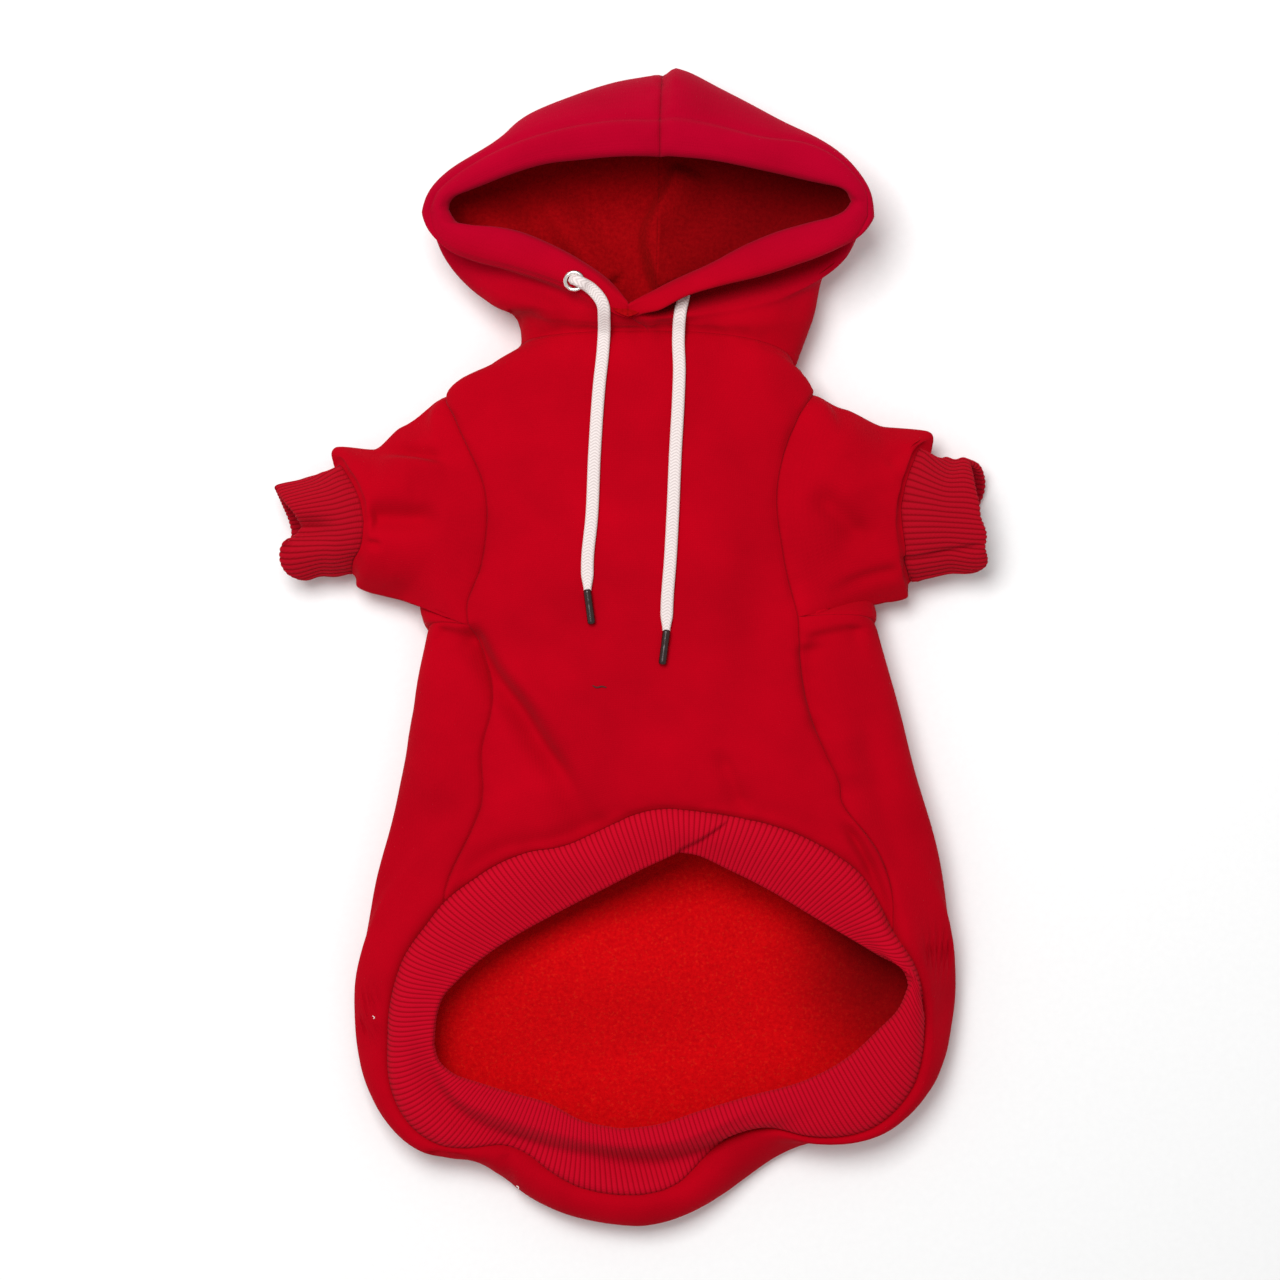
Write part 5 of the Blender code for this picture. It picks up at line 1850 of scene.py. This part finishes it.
@dataclass
class Hood:
    """The two halves of the hood, each with its half of the padded casing."""

    wall: float = 2.2 * MM
    casing_wall: float = 5.0 * MM
    cloth_rows: int = 96
    casing_rows: int = 26
    columns: int = 137
    rim_rows: int = 10
    even_turn: float = 1.6
    centre_seam_depth: float = 1.1 * MM
    throat_seam_depth: float = 0.35 * MM
    flat: Place = (0.19, 0.17)
    area: float = 0.0232

    def half(self, side: Side, wardrobe: Wardrobe) -> None:
        """Build one half, and hide the node that it replaces.

        Args:
            side: which half.
            wardrobe: the materials.
        """
        stations = np.concatenate([
            TUBE.even_stations(TUBE.neck, TUBE.casing_seam, self.even_turn, self.cloth_rows)[:-1],
            np.linspace(TUBE.casing_seam, TUBE.hood_edge, self.casing_rows)])
        share = np.linspace(0.0, 2.0, self.columns)
        line = share if side is Side.RIGHT else 2.0 + share
        turns = np.broadcast_to(line, (len(stations), self.columns))
        outer, normals = LAYER.at(stations, turns)
        crown, throat = ("b", "f") if side is Side.RIGHT else ("f", "b")
        outer = sink_edges(outer, normals, {"l": NECK_SEAM_DEPTH, crown: self.centre_seam_depth,
                                            throat: self.throat_seam_depth})
        wall = self.wall + (self.casing_wall - self.wall) * LAYER.padding(stations, turns)
        inner = outer - normals * wall[..., None]
        rim = rounded_rim(outer[-1], inner[-1], outer[-2], self.rim_rows, 1.0)
        cloth = Shell(f"hood_{side.label}_cloth", outer, inner, last_rim=rim).build(
            [wardrobe.hood_face, wardrobe.hood_inside])
        declare_cloth(cloth, f"hood_{side.label}")

    def build(self, wardrobe: Wardrobe) -> None:
        """Build both halves."""
        for side in Side:
            self.half(side, wardrobe)


@dataclass(frozen=True)
class Arm:
    """A short sleeve with its rib cuff, on rings that turn about the arm's own line."""

    side: Side
    sections: tuple[ArmSection, ...]
    drawn: tuple[DrawnRing, ...]
    middle_share: float
    cuff_flat: Place
    hole_rows: int = 72
    sleeve_rows: int = 62
    cuff_rows: int = 20
    cuff_inner_rows: int = 12
    rim_rows: int = 8
    span: float = 0.340
    width: float = 0.104
    height: float = 0.036
    bends: tuple[Place, ...] = ((0.8, 0.85), (0.7, 0.6), (0.7, 0.6), (0.8, 0.85))
    line_blur: float = 5.0
    cuff_seam: float = 3.0
    cuff_seam_depth: float = 1.3 * MM
    blend: float = 1.0
    match: float = 0.4
    wall: float = 2.2 * MM
    sewn_wall: float = 0.5 * MM
    sewn_from: float = 2.1
    sewn_span: float = 0.8
    allowance: int = 12
    cuff_wall: float = 3.2 * MM
    rib_pitch: float = 2.5 * MM
    rib_height: float = 0.42 * MM
    columns_in_rib: int = 8
    ring_samples: int = 600
    sleeve_flat: Place = (0.21, 0.09)
    sleeve_area: float = 0.0138

    def bare(self, along: Array, turns: Array) -> Array:
        """Find the rings as the tables have them.

        Args:
            along: places along the arm, counted in sections.
            turns: the turns of each ring.

        Returns:
            The grid of points.
        """
        middle = TUBE.neck_line - self.middle_share * TUBE.body_length
        table = []
        for section in self.sections:
            corners = [(self.side.value * share[0] * 0.5 * self.span, middle + share[1] * self.width,
                        share[2] * self.height)
                       for share in (section.high, section.top, section.floor, section.bottom)]
            if self.side is Side.RIGHT:
                corners = [corners[0], corners[3], corners[2], corners[1]]
            table.append(np.concatenate([np.ravel(corners), np.ravel(self.bends)]))
        rows = curve_through(np.arange(len(table), dtype=float), np.array(table), along)
        return TUBE.rings(rows, turns, 1)

    def rings(self, along: Array, turns: Array) -> Array:
        """The arm's plain surface, drawn to its lines."""
        return draw_to_lines(self, self.bare(along, turns), along, turns)

    def hole_loop(self) -> tuple[Array, Array, Array, Array]:
        """Follow the armhole's edge as the body panels have it.

        Returns:
            The edge on the plain and on the folded surface, its normals and its turns.
        """
        stations = SEAMS.hole_rows(self.hole_rows)
        parts = []
        for edge in SEAMS.edges(stations, self.side):
            turns = (self.side.value * edge)[:, None]
            plain, normals = TUBE.surface(stations, turns)
            folded, _ = LAYER.at(stations, turns)
            parts.append(np.concatenate([plain[:, 0], folded[:, 0], normals[:, 0]], axis=1))
        share = np.linspace(0.0, 1.0, self.hole_rows)[:-1]
        first, second = (parts[0], parts[1]) if self.side is Side.LEFT else (parts[1], parts[0])
        loop = np.vstack([first[:-1], second[:0:-1]])
        halves = (3.0, 1.0) if self.side is Side.LEFT else (1.0, 3.0)
        turns = np.concatenate([halves[0] + 2.0 * share, halves[1] + 2.0 * share])
        return loop[:, :3], loop[:, 3:6], loop[:, 6:], np.mod(turns, 4.0)

    def normals(self, grid: Array) -> Array:
        """Outward normals of a closed grid of rings."""
        around = np.roll(grid, -1, axis=1) - np.roll(grid, 1, axis=1)
        return unit(np.cross(around, np.gradient(grid, axis=0)))

    def sleeve(self, wardrobe: Wardrobe) -> None:
        """Build the sleeve, its first ring bent to the armhole's edge.

        The bend dies away as a smooth step over blend sections, and the match of normals and
        folds over match sections. The wall thins where it is sewn into the body and the cuff.

        Args:
            wardrobe: the materials.
        """
        plain_loop, folded_loop, loop_normals, turns = self.hole_loop()
        along = np.linspace(0.0, self.cuff_seam, self.sleeve_rows)
        grid = self.rings(along, np.broadcast_to(turns, (self.sleeve_rows, len(turns))))
        leave = 1.0 - smooth_step(along / self.blend)
        grid = grid + leave[:, None, None] * (plain_loop - grid[0])[None]
        normals = self.normals(grid)
        near = (1.0 - smooth_step(along / self.match))[:, None, None]
        normals = unit(normals + near * (loop_normals - normals))
        outer = settle(grid, normals)
        outer = outer + near * (folded_loop - outer[0])[None]
        outer = sink_edges(outer, normals, {"l": SIDE_SEAM_DEPTH, "h": self.cuff_seam_depth})
        sewn = np.maximum(smooth_step((along - self.sewn_from) / self.sewn_span),
                          1.0 - smooth_step(along / self.match))
        wall = self.wall + (self.sewn_wall - self.wall) * sewn
        inner = outer - normals * wall[:, None, None]
        cloth = Shell(f"sleeve_{self.side.label}_cloth", outer, inner, closed=True,
                      allowance=self.allowance).build([wardrobe.face, wardrobe.inside])
        declare_cloth(cloth, f"sleeve_{self.side.label}")

    def cuff(self, wardrobe: Wardrobe) -> None:
        """Build the rib cuff.

        Args:
            wardrobe: the materials.
        """
        dense = np.linspace(0.0, 4.0, self.ring_samples, endpoint=False)
        ring = self.rings(np.array([self.cuff_seam + 1.0]), dense[None, :])[0]
        ribs = int(round(run_length(ring)[-1] / self.rib_pitch))
        columns = ribs * self.columns_in_rib
        turns = np.broadcast_to(even_turns(ring, dense, columns), (self.cuff_rows, columns))
        along = np.linspace(self.cuff_seam, len(self.sections) - 1.0, self.cuff_rows)
        grid = self.rings(along, turns)
        normals = self.normals(grid)
        outer = sink_edges(settle(grid, normals), normals, {"l": self.cuff_seam_depth})
        crest = self.rib_height * rib_crests(columns, ribs)[None, :, None]
        picked = np.linspace(0, self.cuff_rows - 1, self.cuff_inner_rows).round().astype(int)
        inner = (outer - normals * (self.cuff_wall + crest))[picked]
        outer = outer + normals * crest
        rim = rounded_rim(outer[-1], inner[-1], outer[-2], self.rim_rows, 1.1)
        cloth = Shell(f"cuff_{self.side.label}_rib", outer, inner, closed=True, last_rim=rim,
                      ribs=ribs).build([wardrobe.cuff_rib, wardrobe.cuff_rib])
        declare_cloth(cloth, f"cuff_{self.side.label}")

    def build(self, wardrobe: Wardrobe) -> None:
        """Build the sleeve and its cuff."""
        self.sleeve(wardrobe)
        self.cuff(wardrobe)


def carry(path: Array, profile: Array, name: str, materials: list[Material]) -> Piece:
    """Carry outlines along a path as a closed tube.

    Each outline lies square to the path: a point is path + across * side + up * rise, where side
    is level and rise is square to both.

    Args:
        path: the points it follows.
        profile: across and up for each point of the path and each corner of the outline.
        name: the object's name.
        materials: its materials.

    Returns:
        The tube, with u round it and v along it, both in metres.
    """
    ahead = unit(np.gradient(path, axis=0))
    side = unit(np.cross(ahead, np.array([0.0, 0.0, 1.0])))
    rise = np.cross(side, ahead)
    grid = path[:, None] + profile[..., :1] * side[:, None] + profile[..., 1:] * rise[:, None]
    ends = np.stack([np.broadcast_to(path[index], grid[0].shape) for index in (0, -1)])
    rows = np.concatenate([ends[:1], grid, ends[1:]])
    count, columns = rows.shape[:2]
    index = np.arange(count * columns).reshape(count, columns)
    index[0] = 0
    index[-1] = (count - 1) * columns
    index = np.hstack([index, index[:, :1]])
    u = np.linspace(0.0, run_length(np.vstack([grid[count // 2], grid[count // 2][:1]]))[-1], columns + 1)
    v = run_length(path)
    v = np.concatenate([v[:1], v, v[-1:]])
    uv = np.stack(np.broadcast_arrays(u[None, :], v[:, None]), axis=-1)
    return make_object(name, rows, cells(index, flipped=True), materials, cells(uv, flipped=True))


def circle(sides: int) -> Array:
    """The corners of a round outline of radius 1, clockwise as seen along its path."""
    angle = -2.0 * math.pi * np.arange(sides) / sides
    return np.stack([np.cos(angle), np.sin(angle)], axis=1)


def laid(plan: Array, surface: Array, reach: float, lift: float) -> Array:
    """Heights at which something rests on a surface.

    Args:
        plan: x and y of the places.
        surface: points of the surface.
        reach: how far from each place the surface may hold it up.
        lift: how far its middle is over what holds it.

    Returns:
        The surface's highest point within reach of each place, and the lift.
    """
    heights = []
    for place in plan:
        off = np.hypot(surface[:, 0] - place[0], surface[:, 1] - place[1])
        heights.append(surface[off <= max(reach, off.min()), 2].max())
    return np.array(heights) + lift


@dataclass
class Drawcord:
    """A free end of the flat drawcord with its hard tip, laid on the garment."""

    side: Side
    route: tuple[Place, ...]
    tip_end: Place
    length: float
    last_station: float
    width: float = 6.0 * MM
    thickness: float = 2.5 * MM
    tip_diameter: float = 3.8 * MM
    tip_length: float = 15.0 * MM
    grip: float = 1.5 * MM
    step: float = 0.5 * MM
    sides: int = 28
    strand: float = 1.5 * MM
    places: int = 70
    bow: float = 2.2 * MM
    dip: float = 3.0 * MM

    def path(self, surface: Array) -> Array:
        """Lay the cord's middle line on the surface.

        Its heights are smoothed over five places. Out of its eyelet it starts low by dip * exp(-(s/0.35)^2)
        and bows up by bow * exp(-((s - 0.6)/0.8)^2), s being the distance over 0.8 of its width.

        Args:
            surface: points of the surface.

        Returns:
            The line's evenly spaced points.
        """
        coarse = even_line(np.array(self.route), self.places)
        height = laid(coarse, surface, 0.45 * self.width, 0.5 * self.thickness)
        padded = np.pad(height, 2, "edge")
        height = np.convolve(padded, (0.1, 0.2, 0.4, 0.2, 0.1), "valid")
        start = run_length(coarse) / (0.8 * self.width)
        height = height + self.bow * np.exp(-((start - 0.6) / 0.8) ** 2)
        height = height - self.dip * np.exp(-(start / 0.35) ** 2)
        line = np.column_stack([coarse, height])
        count = int(round(run_length(line)[-1] / self.step)) + 1
        return even_line(line, count)

    def outline(self, path: Array) -> Array:
        """Work out the flat braid's outline at each point of its path.

        It is a superellipse, rounder at the eyelet and where the tip grips it, with three lanes
        along it and the weave's waves, 0.04 mm high, across them.

        Args:
            path: the cord's middle line.

        Returns:
            Across and up for each point of the path and each corner of the outline.
        """
        run = run_length(path)
        start = np.exp(-(run / (1.6 * self.width)) ** 2)
        end = smooth_step((run - run[-1] + 1.6 * self.width) / (1.6 * self.width))
        half_width = 0.5 * self.width * (1.0 - 0.12 * start) * (1.0 - 0.40 * end)
        half_thick = 0.5 * self.thickness * (1.0 + 1.05 * start) * (1.0 + 0.35 * end)
        angle = -2.0 * math.pi * (np.arange(self.sides) + 0.5) / self.sides
        across = np.sign(np.cos(angle)) * np.abs(np.cos(angle)) ** 0.75
        up = np.sign(np.sin(angle)) * np.abs(np.sin(angle)) ** 0.85
        lanes = 1.0 + 0.10 * np.cos(3.0 * math.pi * across)
        weave = 0.04 * MM * np.sin(2.0 * math.pi * (run[:, None] + np.abs(across[None, :]) * 1.6 * MM)
                                   / self.strand)
        wide = half_width[:, None] * across[None, :]
        thick = half_thick[:, None] * (up * lanes)[None, :] + weave * np.sign(up)[None, :]
        return np.stack([wide, thick], axis=-1)

    def tip(self, path: Array, surface: Array, wardrobe: Wardrobe) -> Piece:
        """Build the hard tip, in line with the cord and lying on the garment.

        It is a round rod, with a rounded end, a neck where it grips the cord and a faint waist.

        Args:
            path: the cord's middle line.
            surface: points of the surface.
            wardrobe: the materials.

        Returns:
            The tip.
        """
        start, end = path[-1].copy(), np.array([*self.tip_end, 0.0])
        plan = np.linspace(start[:2], end[:2], 9)
        level = laid(plan, surface, 0.4 * self.tip_diameter, 0.5 * self.tip_diameter).max()
        start[2] = level
        end[2] = level
        ahead = unit(end - start)
        start = start - ahead * self.grip
        line = start + ahead * np.linspace(0.0, self.tip_length + self.grip, 40)[:, None]
        run = run_length(line)
        radius = np.full(len(run), 0.5 * self.tip_diameter)
        for share, place, width in ((0.25, run[-1], 0.35), (0.30, 0.0, 0.5), (0.05, 0.45 * run[-1], 1.2)):
            radius *= 1.0 - share * np.exp(-((run - place) / (width * MM)) ** 2)
        made = carry(line, radius[:, None, None] * circle(24), f"aglet_{self.side.label}_tip", [wardrobe.tip])
        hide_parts(f"aglet_{self.side.label}")
        return made

    def build(self, wardrobe: Wardrobe) -> None:
        """Args:
            wardrobe: the materials.
        """
        surface = LAYER.points(self.last_station, 0.9)
        path = self.path(surface)
        braid = carry(path, self.outline(path), f"drawcord_{self.side.label}_braid", [wardrobe.braid])
        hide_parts(f"drawcord_{self.side.label}")
        tip = self.tip(path, surface, wardrobe)
        log.info("%s: %.1f mm", braid.name, 1000.0 * run_length(path)[-1])


@dataclass
class Eyelet:
    """A pressed eyelet: a rolled collar on the cloth and a barrel through it."""

    side: Side
    station: float
    turn: float
    outer: float = 5.2 * MM
    inner: float = 3.1 * MM
    height: float = 1.5 * MM
    barrel: float = 2.0 * MM
    gap: float = 0.2 * MM
    sheet: float = 0.25 * MM
    steps: int = 72

    def build(self, wardrobe: Wardrobe) -> None:
        """Turn the collar's outline about the casing's normal.

        The outline runs over the collar as a half ellipse, down the inside of the barrel and back
        under the collar.

        Args:
            wardrobe: the materials.
        """
        steps = np.array([-0.02, 0.0, 0.02])
        outer, _ = LAYER.at(self.station + steps, np.broadcast_to(self.turn + steps, (3, 3)))
        axis = unit(np.cross(outer[1, 2] - outer[1, 0], outer[2, 1] - outer[0, 1]))
        middle = outer[1, 1] + axis * self.gap
        half = 0.5 * (self.outer - self.inner)
        over = np.linspace(0.0, math.pi, 14)
        bore = self.inner - self.sheet
        radius = np.concatenate([self.inner + half + half * np.cos(over),
                                 [self.inner, bore, bore, self.inner, self.outer - 2.0 * self.sheet]])
        rise = np.concatenate([self.height * np.sin(over) ** 0.8,
                               self.barrel * np.array([-0.5, -1.0, -1.15, -1.15, -0.15])])
        angle = 2.0 * math.pi * np.arange(self.steps) / self.steps
        side = unit(np.cross(axis, np.array([0.0, 1.0, 0.0])))
        other = np.cross(axis, side)
        spokes = np.cos(angle)[:, None] * side + np.sin(angle)[:, None] * other
        grid = middle + radius[:, None, None] * spokes[None] + rise[:, None, None] * axis
        count = len(radius)
        index = np.arange(count * self.steps).reshape(count, self.steps)
        index = np.pad(index, (0, 1), "wrap")
        ring = make_object(f"eyelet_{self.side.label}_ring", grid, cells(index), [wardrobe.nickel])
        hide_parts(f"eyelet_{self.side.label}")


@dataclass(frozen=True)
class Fibre:
    """A loose fibre that clings to the cloth: its route, radius, finish and the cloth under it."""

    name: str
    line: tuple[Place, ...]
    radius: float
    finish: str
    last_station: float
    reach: float

    def build(self, wardrobe: Wardrobe) -> None:
        """Carry a circle that tapers to both ends along the route, half sunk into the pile.

        Args:
            wardrobe: the materials.
        """
        plan = even_line(on_plan(self.line), 28)
        height = laid(plan, LAYER.points(self.last_station, self.reach), 1.5 * MM, 0.3 * self.radius)
        path = np.column_stack([plan, np.full(len(plan), height.mean()) + 0.5 * (height - height.mean())])
        taper = np.sin(math.pi * np.linspace(0.04, 0.96, len(plan))) ** 0.4
        made = carry(path, (self.radius * taper)[:, None, None] * circle(10), self.name,
                     [getattr(wardrobe, self.finish)])
        log.info("%s: %d faces", made.name, len(made.data.polygons))


@dataclass(frozen=True)
class Studio:
    """The camera straight above, the paper floor, one big soft lamp and a pale world."""

    frame_pixels: float = 1280.0
    camera_height: float = 2.0
    cloth_height: float = 0.02
    sensor: float = 36.0
    lamp_place: Point = (-0.36, 0.58, 1.55)
    lamp_size: float = 0.9
    lamp_power: float = 22.6
    world_strength: float = 0.485
    floor_reach: float = 2.4
    floor_gap: float = 0.2 * MM
    floor_steps: int = 9

    def camera(self) -> None:
        """A camera whose frame is the photograph's at the height of the cloth."""
        data = bpy.data.cameras.new("photo_camera")
        data.sensor_fit = "HORIZONTAL"
        data.sensor_width = self.sensor
        data.lens = self.sensor * (self.camera_height - self.cloth_height) / (self.frame_pixels * PHOTO_SCALE)
        data.clip_end = 20.0
        eye = bpy.data.objects.new("photo_camera", data)
        middle = 0.5 * self.frame_pixels
        eye.location = (*on_plan(((middle, middle),))[0], self.camera_height)
        bpy.context.scene.collection.objects.link(eye)
        bpy.context.scene.camera = eye

    def light(self) -> None:
        """A square area light beyond the hood's end, aimed at the garment, and a pale world all round."""
        data = bpy.data.lights.new("soft_top_light", "AREA")
        data.shape = "SQUARE"
        data.size = self.lamp_size
        data.energy = self.lamp_power
        lamp = bpy.data.objects.new("soft_top_light", data)
        lamp.location = self.lamp_place
        aim = unit(np.array(self.lamp_place))
        lamp.rotation_euler = (math.acos(aim[2]), 0.0, math.atan2(aim[1], aim[0]) + 0.5 * math.pi)
        bpy.context.scene.collection.objects.link(lamp)
        world = bpy.data.worlds.new("pale_studio")
        world.use_nodes = True
        set_node(world.node_tree, world.node_tree.nodes["Background"],
                 {"Color": linear("#ffffff"), "Strength": self.world_strength})
        bpy.context.scene.world = world
        bpy.context.scene.view_settings.view_transform = "Standard"

    def floor(self) -> None:
        """A flat sheet of paper under the garment."""
        line = np.linspace(-self.floor_reach, self.floor_reach, self.floor_steps)
        x, y = np.meshgrid(line, line)
        points = np.stack([x, y, np.full_like(x, -self.floor_gap)], axis=-1)
        index = np.arange(x.size).reshape(x.shape)
        paper = make_object("paper_floor", points, cells(index), [PaperFloor("white_paper_roll").make()])


DRAWCORDS = (
    Drawcord(Side.LEFT, ((-0.0271, 0.1746), (-0.0183, 0.1696), (-0.0134, 0.1630), (-0.0127, 0.1552),
                         (-0.0131, 0.1440), (-0.0151, 0.1243), (-0.0173, 0.0922), (-0.0187, 0.0614),
                         (-0.0206, 0.0422), (-0.0206, 0.0264)), (-0.0187, 0.0120), 0.154, 18.0),
    Drawcord(Side.RIGHT, ((0.0258, 0.1694), (0.0235, 0.1598), (0.0226, 0.1478), (0.0230, 0.1320),
                          (0.0226, 0.1200), (0.0211, 0.0922), (0.0199, 0.0640), (0.0187, 0.0420),
                          (0.0172, 0.0220), (0.0168, 0.0072)), (0.0149, -0.0077), 0.161, 15.8),
)
EYELETS = (Eyelet(Side.LEFT, 17.35, -0.277), Eyelet(Side.RIGHT, 16.10, 0.222))
ARMS = (Arm(Side.LEFT, LEFT_ARM, LEFT_ARM_LINES, 0.188, (0.125, 0.031)),
        Arm(Side.RIGHT, RIGHT_ARM, RIGHT_ARM_LINES, 0.186, (0.15, 0.031)))
FIBRES = (
    Fibre("fibre_belly_dark", ((593, 685), (597, 687), (602, 686), (607, 687)), 0.42 * MM, "stain",
          12.0, 0.9),
    Fibre("lint_hem_left", ((373, 1015), (375, 1017), (374, 1018)), 0.20 * MM, "lint", 3.0, 2.0),
    Fibre("lint_hem_bottom", ((516, 1187), (518, 1188), (518, 1191)), 0.26 * MM, "lint", 3.0, 2.0),
)


def main() -> None:
    """Build the hoodie and its studio, piece by piece."""
    logging.basicConfig(level=logging.INFO, format="%(name)s: %(message)s")
    studio = Studio()
    studio.camera()
    wardrobe = Wardrobe()
    for drawcord in DRAWCORDS:
        drawcord.build(wardrobe)
    for eyelet in EYELETS:
        eyelet.build(wardrobe)
    BodyPanels().build(wardrobe)
    HemBand().build(wardrobe)
    Hood().build(wardrobe)
    for arm in ARMS:
        arm.build(wardrobe)
    for fibre in FIBRES:
        fibre.build(wardrobe)
    studio.floor()
    studio.light()


if __name__ == "__main__":
    main()
